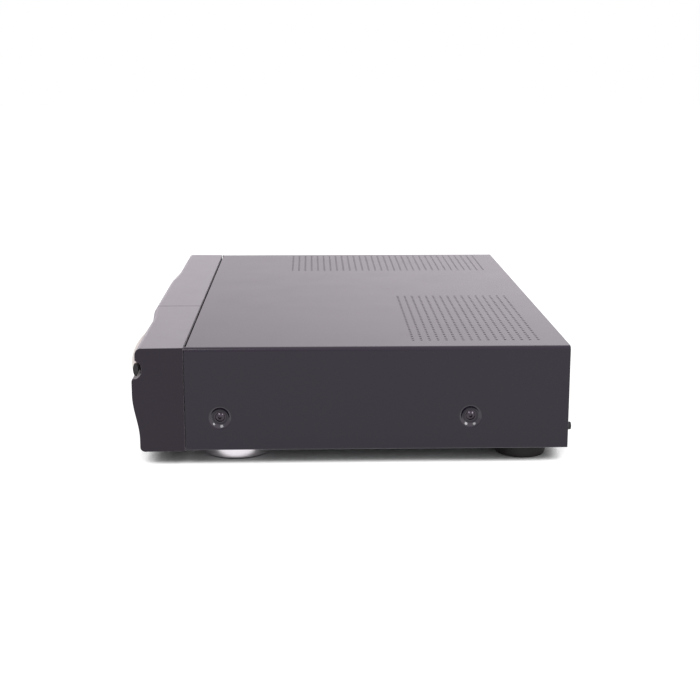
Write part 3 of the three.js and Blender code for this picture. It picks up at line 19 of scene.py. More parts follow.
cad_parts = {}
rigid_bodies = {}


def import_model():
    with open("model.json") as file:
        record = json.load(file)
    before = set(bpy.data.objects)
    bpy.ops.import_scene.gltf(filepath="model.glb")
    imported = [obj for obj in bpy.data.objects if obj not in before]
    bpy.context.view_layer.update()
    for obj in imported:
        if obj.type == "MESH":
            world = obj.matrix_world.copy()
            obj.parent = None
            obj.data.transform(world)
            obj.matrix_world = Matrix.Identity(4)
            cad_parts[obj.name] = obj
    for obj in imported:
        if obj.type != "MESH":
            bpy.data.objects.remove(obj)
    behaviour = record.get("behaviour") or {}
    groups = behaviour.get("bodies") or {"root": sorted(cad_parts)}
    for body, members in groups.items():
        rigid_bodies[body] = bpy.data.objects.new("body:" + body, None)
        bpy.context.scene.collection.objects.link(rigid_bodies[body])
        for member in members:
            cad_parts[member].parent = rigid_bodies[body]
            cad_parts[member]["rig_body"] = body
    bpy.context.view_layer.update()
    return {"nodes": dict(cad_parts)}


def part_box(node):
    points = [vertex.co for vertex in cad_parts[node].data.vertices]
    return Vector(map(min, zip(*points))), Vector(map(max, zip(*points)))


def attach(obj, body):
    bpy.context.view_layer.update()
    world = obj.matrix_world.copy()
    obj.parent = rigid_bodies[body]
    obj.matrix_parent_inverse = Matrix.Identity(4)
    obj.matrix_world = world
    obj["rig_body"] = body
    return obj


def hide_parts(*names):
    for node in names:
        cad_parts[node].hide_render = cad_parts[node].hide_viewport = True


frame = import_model()

Object = bpy.types.Object
NodeTree = bpy.types.NodeTree
Socket = bpy.types.NodeSocket
Flat = tuple[float, float]
Profile = tuple[Flat, ...]
Limits = tuple[float, float, float, float]
Space = tuple[float, float, float]
Span = tuple[float, float]

MM = 0.001
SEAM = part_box("top_cover")[0].y / MM
# Corners this near are one in a new mesh, and in a copied or finished one, in millimetres
DOUBLED = 1e-4
SLIVER = 0.002
# Most of a noise texture lies between these two values
NOISE_SPAN = (0.3, 0.7)
# Inputs that take the lowest and highest value, then what they become
RANGE_INPUTS = ("From Min", "From Max", "To Min", "To Max")
LOG = logging.getLogger("recorder")


class Axis(Enum):
    """Direction that a section is pushed along, with the order of its coordinates."""

    X = (1, 2, 0)
    Y = (0, 2, 1)
    Z = (0, 1, 2)


class Side(Enum):
    """One of the two decks, or one half of the case."""

    LEFT = -1
    RIGHT = 1

    @property
    def suffix(self) -> str:
        """Ending of the names on this side."""
        return self.name.lower()


class Pattern(Enum):
    """How a surface was made, which decides the pattern on it."""

    MOULDED = "moulded"
    BRUSHED = "brushed"
    SPANGLED = "spangled"
    FLAKED = "flaked"
    TRACKED = "tracked"
    LAYERED = "layered"


class Symbol(Enum):
    """Plain signs on the buttons, common to all players."""

    OPEN = "open"
    PLAY = "play"
    STOP = "stop"
    RECORD = "record"
    POWER = "power"


# Shader and geometry trees


def linear(code: str, alpha: float = 1.0) -> tuple[float, float, float, float]:
    """Red, green, blue and alpha of an sRGB colour like "#rrggbb", in linear light."""
    parts = [int(code[i : i + 2], 16) / 255 for i in (1, 3, 5)]
    light = [c / 12.92 if c <= 0.04045 else ((c + 0.055) / 1.055) ** 2.4 for c in parts]
    return light[0], light[1], light[2], alpha


def add_node(tree: NodeTree, kind: str, inputs: dict | None = None, **settings: object) -> bpy.types.Node:
    """Add a node with its settings and links.

    Args:
        tree: Tree that gets the node.
        kind: Blender's name for the node's type.
        inputs: Socket name or number, to a constant or to the socket that feeds it.
        settings: Attributes of the node.

    Returns:
        The new node.
    """
    node = tree.nodes.new(kind)
    for name, value in settings.items():
        setattr(node, name, value)
    for key, value in (inputs or {}).items():
        if isinstance(value, Socket):
            tree.links.new(value, node.inputs[key])
        else:
            node.inputs[key].default_value = value
    return node


def blank_tree(holder: bpy.types.World | bpy.types.Material) -> NodeTree:
    """Empty shader tree of a world or a material."""
    holder.use_nodes = True
    holder.node_tree.nodes.clear()
    return holder.node_tree


@dataclass(frozen=True)
class Finish:
    """Finish of a surface: what it is made of, how it was made and how it shines.

    Grain, relief and mottle are real sizes in millimetres: of the fine pattern, of its height and of the
    clouds in its colour. The spread is how far the roughness wanders.
    """

    name: str
    colour: str
    shade: str
    roughness: float
    slot: str
    metallic: float = 0.0
    pattern: Pattern = Pattern.MOULDED
    grain: float = 0.6
    relief: float = 0.012
    spread: float = 0.06
    mottle: float = 30.0
    coat: float = 0.0
    bloom: float = 0.0
    specular: float = 0.5
    transmission: float = 0.0
    bloom_roughness: float = 0.45
    bloom_tint: str = "#f4ecf4"
    brush_stretch: Space = (0.04, 1, 1)
    layer_scale: float = 0.32
    track_gap: float = 0.22
    track_length: float = 5.0
    smear: float = 0.7

    def _coordinates(self, tree: NodeTree, size: float, stretch: Space = (1, 1, 1)) -> Socket:
        """Object coordinates in units of a size in millimetres, with the share that fits along each axis."""
        place = add_node(tree, "ShaderNodeTexCoord").outputs["Object"]
        inputs = {"Vector": place, "Scale": tuple(share / (size * MM) for share in stretch)}
        return add_node(tree, "ShaderNodeMapping", inputs).outputs[0]

    def _height(self, tree: NodeTree) -> Socket:
        """Height field of the fine pattern, from 0 to 1.

        Args:
            tree: Tree of the material.

        Returns:
            Socket of the height.
        """
        stretch = self.brush_stretch if self.pattern is Pattern.BRUSHED else (1, 1, 1)
        vector = self._coordinates(tree, self.grain, stretch)
        if self.pattern in (Pattern.SPANGLED, Pattern.FLAKED):
            cells = {"Vector": vector, "Scale": 1.0}
            return add_node(tree, "ShaderNodeTexVoronoi", cells).outputs["Distance"]
        if self.pattern is Pattern.LAYERED:
            waves = {"Vector": vector, "Scale": self.layer_scale, "Distortion": 0.0}
            return add_node(tree, "ShaderNodeTexWave", waves, bands_direction="Z").outputs["Fac"]
        if self.pattern is Pattern.TRACKED:
            bricks = {"Vector": vector, "Scale": 1.0, "Row Height": 1.0}
            bricks |= {"Mortar Size": self.track_gap, "Brick Width": self.track_length}
            return add_node(tree, "ShaderNodeTexBrick", bricks).outputs["Fac"]
        noise = {"Vector": vector, "Scale": 1.0, "Detail": 3.0, "Roughness": 0.55}
        return add_node(tree, "ShaderNodeTexNoise", noise).outputs["Fac"]

    def _tone(self, tree: NodeTree, height: Socket) -> Socket:
        """Where the second colour shows, from 0 to 1.

        Args:
            tree: Tree of the material.
            height: Height field of the fine pattern.

        Returns:
            Socket of the share of the second colour.
        """
        if self.pattern in (Pattern.TRACKED, Pattern.LAYERED):
            return height
        if self.pattern in (Pattern.SPANGLED, Pattern.FLAKED):
            cells = {"Vector": self._coordinates(tree, self.grain), "Scale": 1.0}
            return add_node(tree, "ShaderNodeTexVoronoi", cells).outputs["Color"]
        vector = self._coordinates(tree, self.mottle)
        clouds = {"Vector": vector, "Scale": 1.0, "Detail": 4.0, "Roughness": 0.6}
        return add_node(tree, "ShaderNodeTexNoise", clouds).outputs["Fac"]

    def material(self) -> bpy.types.Material:
        """The material of this finish, made once.

        Returns:
            A node-based material.
        """
        ready = bpy.data.materials.get(self.name)
        if ready:
            return ready
        made = bpy.data.materials.new(self.name)
        tree = blank_tree(made)
        height = self._height(tree)
        tone = self._tone(tree, height)
        colours = {0: tone, 6: linear(self.colour), 7: linear(self.shade)}
        mix = add_node(tree, "ShaderNodeMix", colours, data_type="RGBA")
        smears = {"Vector": self._coordinates(tree, self.mottle * self.smear), "Scale": 1.0, "Detail": 5.0}
        wear = add_node(tree, "ShaderNodeTexNoise", smears).outputs["Fac"]
        smooth, dull = max(0.02, self.roughness - self.spread), min(1.0, self.roughness + self.spread)
        limits = {"Value": wear, **dict(zip(RANGE_INPUTS, (*NOISE_SPAN, smooth, dull)))}
        raised = {"Height": height, "Distance": self.relief * MM, "Strength": 1.0}
        bump = add_node(tree, "ShaderNodeBump", raised)
        shader = {
            "Base Color": mix.outputs[2],
            "Metallic": self.metallic,
            "Roughness": add_node(tree, "ShaderNodeMapRange", limits).outputs[0],
            "Normal": bump.outputs["Normal"],
            "Coat Weight": self.coat,
            "Transmission Weight": self.transmission,
            "Specular IOR Level": self.specular,
            "Sheen Weight": self.bloom,
            "Sheen Roughness": self.bloom_roughness,
            "Sheen Tint": linear(self.bloom_tint),
        }
        surface = add_node(tree, "ShaderNodeBsdfPrincipled", shader)
        add_node(tree, "ShaderNodeOutputMaterial", {"Surface": surface.outputs["BSDF"]})
        made.diffuse_color = linear(self.colour)
        return made


# Sheet steel with a satin black baked coat: dark, slightly violet, pale where it mirrors a bright room
SATIN_STEEL = Finish(
    "satin_black_coated_steel", "#160820", "#1a0c25", 0.2, "cover_steel", grain=0.45, relief=0.0012,
    spread=0.012, mottle=60, bloom=0.08, specular=0.44,
)
# The same coat where a die has pressed the sheet: smoother, so that it draws sharp bright spots
PRESSED_STEEL = Finish(
    "pressed_coated_steel", "#160820", "#1a0c25", 0.13, "cover_steel", grain=0.45, relief=0.0006,
    spread=0.012, mottle=60, coat=0.1, specular=0.7,
)
# Pale metal on the downward faces of the sheet's lower edge: a painted reflection of the floor, seen as a
# thin pale line along the bottom
PAINTED_EDGE_REFLECTION = Finish("cut_steel_edge", "#77757a", "#8a888d", 0.4, "cover_steel", 0.8, grain=0.6, relief=0.004)
# Zinc-plated steel: pale grey crystals that differ a little in brightness
ZINC_STEEL = Finish(
    "zinc_plated_steel", "#8f9296", "#b4b7ba", 0.38, "zinc_steel", 0.9, Pattern.SPANGLED, grain=5,
    relief=0.01,
)
# Spark-eroded ABS: fine matt grain, dark with a violet cast
FASCIA_ABS = Finish(
    "spark_eroded_abs", "#180a1d", "#1c0e22", 0.3, "fascia_plastic", grain=0.5, relief=0.003, spread=0.02,
    bloom=1.0, specular=0.31,
)
# Champagne metallic lacquer on a moulding: warm, with fine flakes under a clear coat
CHAMPAGNE = Finish(
    "champagne_lacquer", "#cfc5b8", "#ddd4c8", 0.34, "champagne", 0.55, Pattern.FLAKED, grain=0.25,
    relief=0.002, coat=0.4,
)
# Silver lacquer: bright, neutral, with fine flakes
SILVER = Finish(
    "silver_lacquer", "#ece7ec", "#f4eff4", 0.18, "silver_paint", 0.92, Pattern.FLAKED, grain=0.25,
    relief=0.0005, spread=0.02,
)
# Satin silver lacquer of the controls: a little greyer, so that the signs on them can be read
SATIN_SILVER = Finish(
    "satin_silver_lacquer", "#a9a5aa", "#b5b1b6", 0.26, "silver_paint", 0.9, Pattern.FLAKED, grain=0.25,
    relief=0.0008, spread=0.02,
)
# Smoked acrylic: nearly black and glossy, a little light comes through
SMOKED_ACRYLIC = Finish(
    "smoked_acrylic", "#2c2c31", "#2f2f34", 0.05, "smoked_window", grain=8, relief=0.001, spread=0.02,
    transmission=0.75,
)
# Glass of the display tube: grey-green, glossy
TUBE_GLASS = Finish(
    "display_tube_glass", "#2a3a38", "#304240", 0.08, "display_glass", grain=6, relief=0.001, spread=0.02,
    coat=0.3,
)
# Unlit phosphor: pale matt grey-green
PHOSPHOR = Finish("unlit_phosphor", "#9db3a8", "#aabfb3", 0.8, "display_glass", grain=0.2, relief=0.003)
# Glass-fibre board under a green solder mask, with tracks that stand out a little
GREEN_BOARD = Finish(
    "green_circuit_board", "#1f4d2e", "#2f6a40", 0.35, "board_green", 0, Pattern.TRACKED, grain=1.2,
    relief=0.035,
)
# Paper board: tan, matt, with tracks
BROWN_BOARD = Finish(
    "brown_circuit_board", "#8a6a41", "#a07f52", 0.5, "board_brown", 0, Pattern.TRACKED, grain=1.6,
    relief=0.035,
)
# Moulded black polystyrene: matt grain
BLACK_PLASTIC = Finish("moulded_black_plastic", "#19191b", "#202023", 0.5, "black_plastic", grain=0.4)
# Moulded dark grey ABS of the trays
GREY_PLASTIC = Finish("moulded_grey_plastic", "#3c3b40", "#434247", 0.48, "grey_plastic", grain=0.4)
# Acetal: milky white, waxy
WHITE_ACETAL = Finish("milky_acetal", "#d8d7d0", "#cfcec6", 0.38, "white_plastic", grain=2, relief=0.004)
# Ground and drawn steel: bright, with fine lines along it
BRIGHT_STEEL = Finish(
    "drawn_bright_steel", "#b9bbbd", "#c8cacc", 0.22, "bright_steel", 1.0, Pattern.BRUSHED, grain=0.3,
    relief=0.002,
)
# Die-cast zinc: grey, with a cast skin
DIECAST = Finish("diecast_zinc", "#7e8083", "#8d8f92", 0.45, "diecast", 0.8, grain=1.4, relief=0.03)
# Rubber: dull black
RUBBER = Finish("moulded_rubber", "#222021", "#2b2929", 0.75, "rubber", grain=0.5, relief=0.02)
# Core of stacked iron sheets: thin layers show at the edges
IRON_CORE = Finish(
    "laminated_iron", "#5c564c", "#827a6d", 0.5, "iron_core", 0.6, Pattern.LAYERED, grain=0.9,
    relief=0.05,
)
# Black anodised aluminium of the heat sink: dark, with fine drawn lines
BLACK_ALUMINIUM = Finish(
    "black_anodised_aluminium", "#1c1d20", "#232427", 0.4, "black_aluminium", 0.6, Pattern.BRUSHED,
    grain=0.4,
)
# Nickel plate: bright and a little warm
NICKEL = Finish("nickel_plate", "#bdb7ac", "#c9c4ba", 0.18, "bright_steel", 1.0, grain=1.5, relief=0.002)
# Enamelled copper wire in layers
COPPER_WIRE = Finish(
    "enamelled_copper_wire", "#8a4a22", "#a86132", 0.35, "iron_core", 0.7, Pattern.LAYERED, grain=0.6,
    relief=0.08,
)
# Dark blue sleeve of a capacitor: smooth shrunk film
SLEEVE = Finish("capacitor_sleeve", "#1b2434", "#222c3e", 0.3, "black_plastic", grain=3, relief=0.003)
# Black zinc plate of the screws: a little brighter than the coat round them
BLACK_ZINC = Finish(
    "black_zinc_plate", "#413c43", "#4a454c", 0.17, "cover_steel", 0.85, grain=0.8, relief=0.0008,
    spread=0.02,
)
# Glass of the lens: clear with a blue cast
LENS_GLASS = Finish(
    "coated_lens_glass", "#8fa6c4", "#8fa6c4", 0.04, "smoked_window", grain=4, relief=0.0005, spread=0.01,
    transmission=0.6,
)
# Coloured polystyrene inside the sockets: matt grain
RED_PLASTIC = Finish("red_socket_insert", "#9d2420", "#a52b27", 0.4, "black_plastic", grain=0.5)
ORANGE_PLASTIC = Finish("orange_socket_insert", "#c0651f", "#c76d28", 0.4, "grey_plastic", grain=0.5)
# Printing ink of the signs on the buttons, dark and red: thin and matt
DARK_INK = Finish("dark_ink", "#3a3a3e", "#414145", 0.5, "black_plastic", grain=0.3, relief=0.002)
RED_INK = Finish("red_ink", "#9c2b26", "#a8332d", 0.5, "black_plastic", grain=0.3, relief=0.002)


# Mesh making


def linked(name: str, data: bpy.types.ID) -> Object:
    """New object in the scene."""
    made = bpy.data.objects.new(name, data)
    bpy.context.scene.collection.objects.link(made)
    return made


def mesh_object(name: str, points: Iterable[Sequence[float]], faces: Iterable[Sequence[int]]) -> Object:
    """Make an object from points and faces, with its faces pointing outwards.

    Args:
        name: Name of the object.
        points: Corners in millimetres.
        faces: Corner numbers of each face.

    Returns:
        The new object, linked to the scene.
    """
    mesh = bpy.data.meshes.new(name)
    mesh.from_pydata([tuple(p) for p in points], [], [tuple(f) for f in faces])
    mesh.validate()
    made = linked(name, mesh)
    with editing(mesh) as work:
        bmesh.ops.remove_doubles(work, verts=work.verts, dist=DOUBLED)
        bmesh.ops.recalc_face_normals(work, faces=work.faces)
    return made


@contextmanager
def editing(mesh: bpy.types.Mesh) -> Iterator[bmesh.types.BMesh]:
    """Open a mesh for editing and write it back afterwards.

    Args:
        mesh: Mesh that is changed.

    Returns:
        The mesh in its editable form.
    """
    work = bmesh.new()
    work.from_mesh(mesh)
    yield work
    work.to_mesh(mesh)
    work.free()


def remove(*targets: Object) -> None:
    """Delete objects that were only needed while making others."""
    for target in targets:
        bpy.data.objects.remove(target)


def in_space(axis: Axis, flat: Flat, along: float) -> Space:
    """Point with two coordinates across an axis and one along it."""
    place = dict(zip(axis.value, (*flat, along)))
    return place[0], place[1], place[2]


def loft(rings: Sequence[Sequence[Space]], closed: bool = False) -> Object:
    """Skin a row of loops with the same number of points.

    Args:
        rings: Loops of points.
        closed: True joins the last loop to the first, otherwise both ends get a cap.

    Returns:
        A closed solid.
    """
    count = len(rings[0])
    points = [p for ring in rings for p in ring]
    faces = []
    rows = len(rings) if closed else len(rings) - 1
    for k in range(rows):
        near, far = k * count, ((k + 1) % len(rings)) * count
        faces += [(near + i, near + (i + 1) % count, far + (i + 1) % count, far + i) for i in range(count)]
    if not closed:
        faces.append(tuple(range(count)))
        faces.append(tuple(range(len(points) - count, len(points))))
    return mesh_object("solid", points, faces)


def prism(axis: Axis, outline: Sequence[Flat], span: Span) -> Object:
    """Push an outline along an axis."""
    return loft([[in_space(axis, p, place) for p in outline] for place in span])


def box(x: Span, y: Span, z: Span) -> Object:
    """Block between three spans."""
    return prism(Axis.Z, [(x[0], y[0]), (x[1], y[0]), (x[1], y[1]), (x[0], y[1])], z)


def circle(centre: Flat, radius: float, steps: int = 48) -> list[Flat]:
    """Points of a circle."""
    turns = [2 * math.pi * i / steps for i in range(steps)]
    return [(centre[0] + radius * math.cos(t), centre[1] + radius * math.sin(t)) for t in turns]


def arc(centre: Flat, radii: Flat, span: Span, steps: int = 24) -> list[Flat]:
    """Points of an oval between two angles in degrees."""
    turns = [math.radians(span[0] + (span[1] - span[0]) * i / steps) for i in range(steps + 1)]
    return [(centre[0] + radii[0] * math.cos(t), centre[1] + radii[1] * math.sin(t)) for t in turns]


def rod(axis: Axis, centre: Flat, radius: float, span: Span, steps: int = 32) -> Object:
    """Round bar along an axis."""
    return prism(axis, circle(centre, radius, steps), span)


def turned(axis: Axis, centre: Flat, profile: Sequence[Flat], steps: int = 64) -> Object:
    """Turn a profile about an axis.

    Args:
        axis: Axis of the turned piece.
        centre: Where the axis passes.
        profile: (radius, place along the axis) points of a closed loop, or from axis to axis.
        steps: Number of sides.

    Returns:
        A closed solid.
    """
    rings = []
    for i in range(steps):
        angle = 2 * math.pi * i / steps
        c, s = math.cos(angle), math.sin(angle)
        rings.append([in_space(axis, (centre[0] + r * c, centre[1] + r * s), along) for r, along in profile])
    return loft(rings, closed=True)


def rounded(x: Span, y: Span, radius: float, steps: int = 6) -> list[Flat]:
    """Rectangle with round corners.

    Args:
        x: Span along the first coordinate.
        y: Span along the second one.
        radius: Radius of the corners.
        steps: Number of faces in each corner.

    Returns:
        Points of a closed outline.
    """
    corners = [(x[1], y[1], 0), (x[0], y[1], 1), (x[0], y[0], 2), (x[1], y[0], 3)]
    points = []
    for a, b, quarter in corners:
        middle = (a - math.copysign(radius, a - sum(x) / 2), b - math.copysign(radius, b - sum(y) / 2))
        for i in range(steps + 1):
            angle = math.pi / 2 * (quarter + i / steps)
            points.append((middle[0] + radius * math.cos(angle), middle[1] + radius * math.sin(angle)))
    return points


def about(middle: float, size: float) -> Span:
    """Span of a size about a middle."""
    return middle - size / 2, middle + size / 2


def combine(target: Object, tools: Sequence[Object], operation: str) -> Object:
    """Join solids to one, or cut them out of it.

    Args:
        target: Solid that is changed.
        tools: Solids that are used up.
        operation: "UNION" or "DIFFERENCE".

    Returns:
        The changed solid.
    """
    for tool in tools:
        step = target.modifiers.new("boolean", "BOOLEAN")
        step.object, step.operation, step.solver = tool, operation, "MANIFOLD"
    applied(target)
    remove(*tools)
    return target


def cut(target: Object, *tools: Object) -> Object:
    """Take solids out of another."""
    return combine(target, tools, "DIFFERENCE")


def fuse(target: Object, *tools: Object) -> Object:
    """Make one solid of several."""
    return combine(target, tools, "UNION")


def gather(target: Object, *others: Object) -> Object:
    """Put separate solids into one mesh.

    Args:
        target: Object that keeps its name and gets the others' faces.
        others: Objects that are used up.

    Returns:
        The first object.
    """
    with editing(target.data) as work:
        for other in others:
            work.from_mesh(other.data)
    remove(*others)
    return target


def applied(target: Object) -> Object:
    """Turn what an object's modifiers make into its own plain mesh.

    Args:
        target: Object with modifiers.

    Returns:
        The same object, without them.
    """
    graph = bpy.context.evaluated_depsgraph_get()
    mesh = bpy.data.meshes.new_from_object(target.evaluated_get(graph))
    target.modifiers.clear()
    target.data = mesh
    return target


def soften(target: Object, width: float, segments: int = 2, angle: float = 40) -> Object:
    """Round the sharp edges of a solid.

    Args:
        target: Solid that is changed.
        width: Width of the rounding.
        segments: Faces across it.
        angle: Only edges sharper than this many degrees are rounded.

    Returns:
        The same object.
    """
    step = target.modifiers.new("bevel", "BEVEL")
    step.width, step.segments, step.limit_method = width, segments, "ANGLE"
    step.angle_limit = math.radians(angle)
    step.use_clamp_overlap = True
    step.miter_outer = "MITER_ARC"
    return applied(target)


def shifted(target: Object, move: Space) -> Object:
    """Move an object's mesh."""
    target.data.transform(Matrix.Translation(move))
    return target


def grown(build: Callable[["Tree"], Socket], finish: Finish, inputs: dict[str, object]) -> Object:
    """Run a geometry tree once and keep its mesh.

    Args:
        build: Function that fills the tree and returns the geometry.
        finish: Finish that the tree sets.
        inputs: Named inputs of the tree, with their values.

    Returns:
        A plain mesh object.
    """
    tree = Tree(inputs)
    geometry = build(tree)
    tree.close(geometry, finish.material())
    holder = mesh_object("holder", [(0, 0, 0)], [])
    step = holder.modifiers.new("grown", "NODES")
    step.node_group = tree.group
    for name, value in inputs.items():
        step[tree.identifier(name)] = value
    holder["slot"] = finish.slot
    return applied(holder)


class Tree:
    """A geometry tree with named inputs."""

    KINDS = {float: "Float", int: "Int", Object: "Object", tuple: "Vector"}

    def __init__(self, inputs: dict[str, object]) -> None:
        """Make the tree's sockets from the values that they will get.

        Args:
            inputs: Named inputs, with their values.
        """
        self.group = bpy.data.node_groups.new("pattern", "GeometryNodeTree")
        for name, value in inputs.items():
            kind = next(self.KINDS[k] for k in self.KINDS if isinstance(value, k))
            self.group.interface.new_socket(name, in_out="INPUT", socket_type=f"NodeSocket{kind}")
        self.group.interface.new_socket("Geometry", in_out="OUTPUT", socket_type="NodeSocketGeometry")
        self.source = self.group.nodes.new("NodeGroupInput")

    def value(self, name: str) -> Socket:
        """Socket of a named input."""
        return self.source.outputs[name]

    def add(self, kind: str, inputs: dict | None = None, **settings: object) -> bpy.types.Node:
        """Add a node to this tree."""
        return add_node(self.group, kind, inputs, **settings)

    def instance(self, points: Socket, unit: str, rotation: object = (0, 0, 0)) -> Socket:
        """Put a copy of a named object on every point."""
        shape = self.add("GeometryNodeObjectInfo", {"Object": self.value(unit)}, transform_space="ORIGINAL")
        inputs = {"Points": points, "Instance": shape.outputs["Geometry"], "Rotation": rotation}
        return self.add("GeometryNodeInstanceOnPoints", inputs).outputs["Instances"]

    def close(self, geometry: Socket, material: bpy.types.Material) -> None:
        """End the tree in plain geometry with its material."""
        real = self.add("GeometryNodeRealizeInstances", {"Geometry": geometry})
        dressed = self.add("GeometryNodeSetMaterial", {"Geometry": real.outputs[0], "Material": material})
        self.add("NodeGroupOutput", {"Geometry": dressed.outputs[0]})

    def identifier(self, name: str) -> str:
        """Identifier of a named input's socket."""
        return next(i.identifier for i in self.group.interface.items_tree if i.name == name)


def on_places(unit: Object, places: Sequence[Space], finish: Finish) -> Object:
    """Copies of a unit at a list of places.

    Args:
        unit: Solid about the origin, which is used up.
        places: Where the copies go.
        finish: Finish of the copies.

    Returns:
        One mesh with all the copies.
    """
    marks = mesh_object("marks", places, [])

    def build(tree: Tree) -> Socket:
        """The unit on every mark."""
        dots = tree.add("GeometryNodeObjectInfo", {"Object": tree.value("Marks")}, transform_space="ORIGINAL")
        return tree.instance(dots.outputs["Geometry"], "Unit")

    made = grown(build, finish, {"Marks": marks, "Unit": unit})
    remove(marks, unit)
    return made


def in_rows(unit: Object, start: Space, pitch: Flat, counts: tuple[int, int], finish: Finish) -> Object:
    """Copies of a unit in rows and columns on a level plane.

    Args:
        unit: Solid about the origin, which is used up.
        start: Place of the first copy.
        pitch: Steps along X and Y.
        counts: Numbers of copies along X and Y.
        finish: Finish of the copies.

    Returns:
        One mesh with all the copies.
    """
    names = ("Size X", "Size Y", "Vertices X", "Vertices Y")

    def build(tree: Tree) -> Socket:
        """The unit on every corner of a grid."""
        grid = tree.add("GeometryNodeMeshGrid", {name: tree.value(name) for name in names}).outputs["Mesh"]
        move = {"Geometry": grid, "Translation": tree.value("Middle")}
        return tree.instance(tree.add("GeometryNodeTransform", move).outputs[0], "Unit")

    sizes = [float(step * (count - 1)) for step, count in zip(pitch, counts)]
    middle = (start[0] + sizes[0] / 2, start[1] + sizes[1] / 2, start[2])
    inputs = {"Unit": unit, **dict(zip(names, (*sizes, *counts))), "Middle": middle}
    made = grown(build, finish, inputs)
    remove(unit)
    return made


def in_ring(unit: Object, count: int, radius: float, finish: Finish) -> Object:
    """Copies of a unit round the Z axis, each turned with its place.

    Args:
        unit: Solid that stands at the origin and points along +X, which is used up.
        count: Number of copies.
        radius: Radius of the ring.
        finish: Finish of the copies.

    Returns:
        One mesh with all the copies.
    """

    def build(tree: Tree) -> Socket:
        """The unit on every corner of a ring, turned by its number."""
        sizes = {"Vertices": tree.value("Count"), "Radius": tree.value("Radius")}
        ring = tree.add("GeometryNodeMeshCircle", sizes)
        index = tree.add("GeometryNodeInputIndex")
        step = tree.add("ShaderNodeMath", {0: 2 * math.pi, 1: tree.value("Count")}, operation="DIVIDE")
        turn = tree.add("ShaderNodeMath", {0: index.outputs[0], 1: step.outputs[0]}, operation="MULTIPLY")
        angles = tree.add("ShaderNodeCombineXYZ", {"Z": turn.outputs[0]})
        return tree.instance(ring.outputs["Mesh"], "Unit", angles.outputs[0])

    made = grown(build, finish, {"Unit": unit, "Count": count, "Radius": float(radius)})
    remove(unit)
    return made


def looped(path: Sequence[Space], radius: float, finish: Finish) -> Object:
    """Round cord along a closed path.

    Args:
        path: Points of the path.
        radius: Radius of the cord.
        finish: Finish of the cord.

    Returns:
        A plain mesh.
    """
    count = len(path)
    line = mesh_object("line", path, [])
    line.data.clear_geometry()
    line.data.from_pydata([tuple(p) for p in path], [(i, (i + 1) % count) for i in range(count)], [])

    def build(tree: Tree) -> Socket:
        """A round section along the line."""
        wire = tree.add("GeometryNodeObjectInfo", {"Object": tree.value("Line")}, transform_space="ORIGINAL")
        curve = tree.add("GeometryNodeMeshToCurve", {"Mesh": wire.outputs["Geometry"]})
        size = {"Resolution": 12, "Radius": tree.value("Radius")}
        ring = tree.add("GeometryNodeCurvePrimitiveCircle", size)
        section = {"Curve": curve.outputs["Curve"], "Profile Curve": ring.outputs["Curve"], "Fill Caps": True}
        return tree.add("GeometryNodeCurveToMesh", section).outputs["Mesh"]

    made = grown(build, finish, {"Line": line, "Radius": float(radius)})
    remove(line)
    return made


# Finishing a piece


def painted(target: Object, finish: Finish) -> Object:
    """Give a whole mesh one finish.

    Args:
        target: Object that is dressed.
        finish: Its finish.

    Returns:
        The same object.
    """
    target.data.materials.clear()
    target.data.materials.append(finish.material())
    target["slot"] = finish.slot
    return target


def shade(target: Object, angle: float = 35) -> Object:
    """Shade smoothly between edges that are sharper than an angle in degrees.

    Args:
        target: Object that is shaded.
        angle: Sharper edges stay sharp.

    Returns:
        The same object.
    """
    target.data.shade_smooth()
    target.data.set_sharp_from_angle(angle=math.radians(angle))
    step = target.modifiers.new("normals", "WEIGHTED_NORMAL")
    step.keep_sharp = True
    return applied(target)


def complete(target: Object, name: str, finish: Finish | None, *replaced: str, rides: str = "") -> Object:
    """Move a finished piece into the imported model's frame and hang it on its body.

    Args:
        target: Piece in millimetres, in the seam's frame.
        name: Name of the piece.
        finish: Finish of the whole piece, or None where its parts have theirs.
        replaced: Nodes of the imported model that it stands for.
        rides: Body that it moves with, where it replaces no node.

    Returns:
        The finished piece.
    """
    if finish:
        painted(target, finish)
    target.name = target.data.name = name
    # Faces that have no area would spoil the shading beside them
    with editing(target.data) as work:
        bmesh.ops.dissolve_degenerate(work, dist=SLIVER, edges=work.edges)
    target.data.transform(Matrix.Scale(MM, 4) @ Matrix.Translation((0, SEAM, 0)))
    shade(target)
    body = rides or frame["nodes"][replaced[0]]["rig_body"]
    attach(target, body)
    if replaced:
        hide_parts(*replaced)
    LOG.info("%s rides on %s and has %d faces", name, body, len(target.data.polygons))
    return target


def together(target: Object, *others: Object) -> Object:
    """Join painted solids to one object that keeps each finish, and the first one's slot.

    Args:
        target: Object that the others join.
        others: Objects that are used up.

    Returns:
        The same object.
    """
    chosen = [target, *others]
    with bpy.context.temp_override(active_object=target, object=target, selected_editable_objects=chosen):
        bpy.ops.object.join()
    return target


def carried(node: str, width: float = 0.25, segments: int = 2) -> Object:
    """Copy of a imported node's shape with its edges rounded.

    Args:
        node: Name of the node.
        width: Width of the rounding, 0 for none.
        segments: Faces across it.

    Returns:
        A solid in millimetres, in the seam's frame.
    """
    mesh = frame["nodes"][node].data.copy()
    mesh.materials.clear()
    mesh.transform(Matrix.Translation((0, -SEAM, 0)) @ Matrix.Scale(1 / MM, 4))
    made = linked("copy", mesh)
    with editing(mesh) as work:
        bmesh.ops.remove_doubles(work, verts=work.verts, dist=SLIVER)
        if width:
            bmesh.ops.dissolve_limit(work, angle_limit=math.radians(1), verts=work.verts, edges=work.edges)
        bmesh.ops.recalc_face_normals(work, faces=work.faces)
    if "custom_normal" in mesh.attributes:
        mesh.attributes.remove(mesh.attributes["custom_normal"])
    return soften(made, width, segments) if width else made


# Case


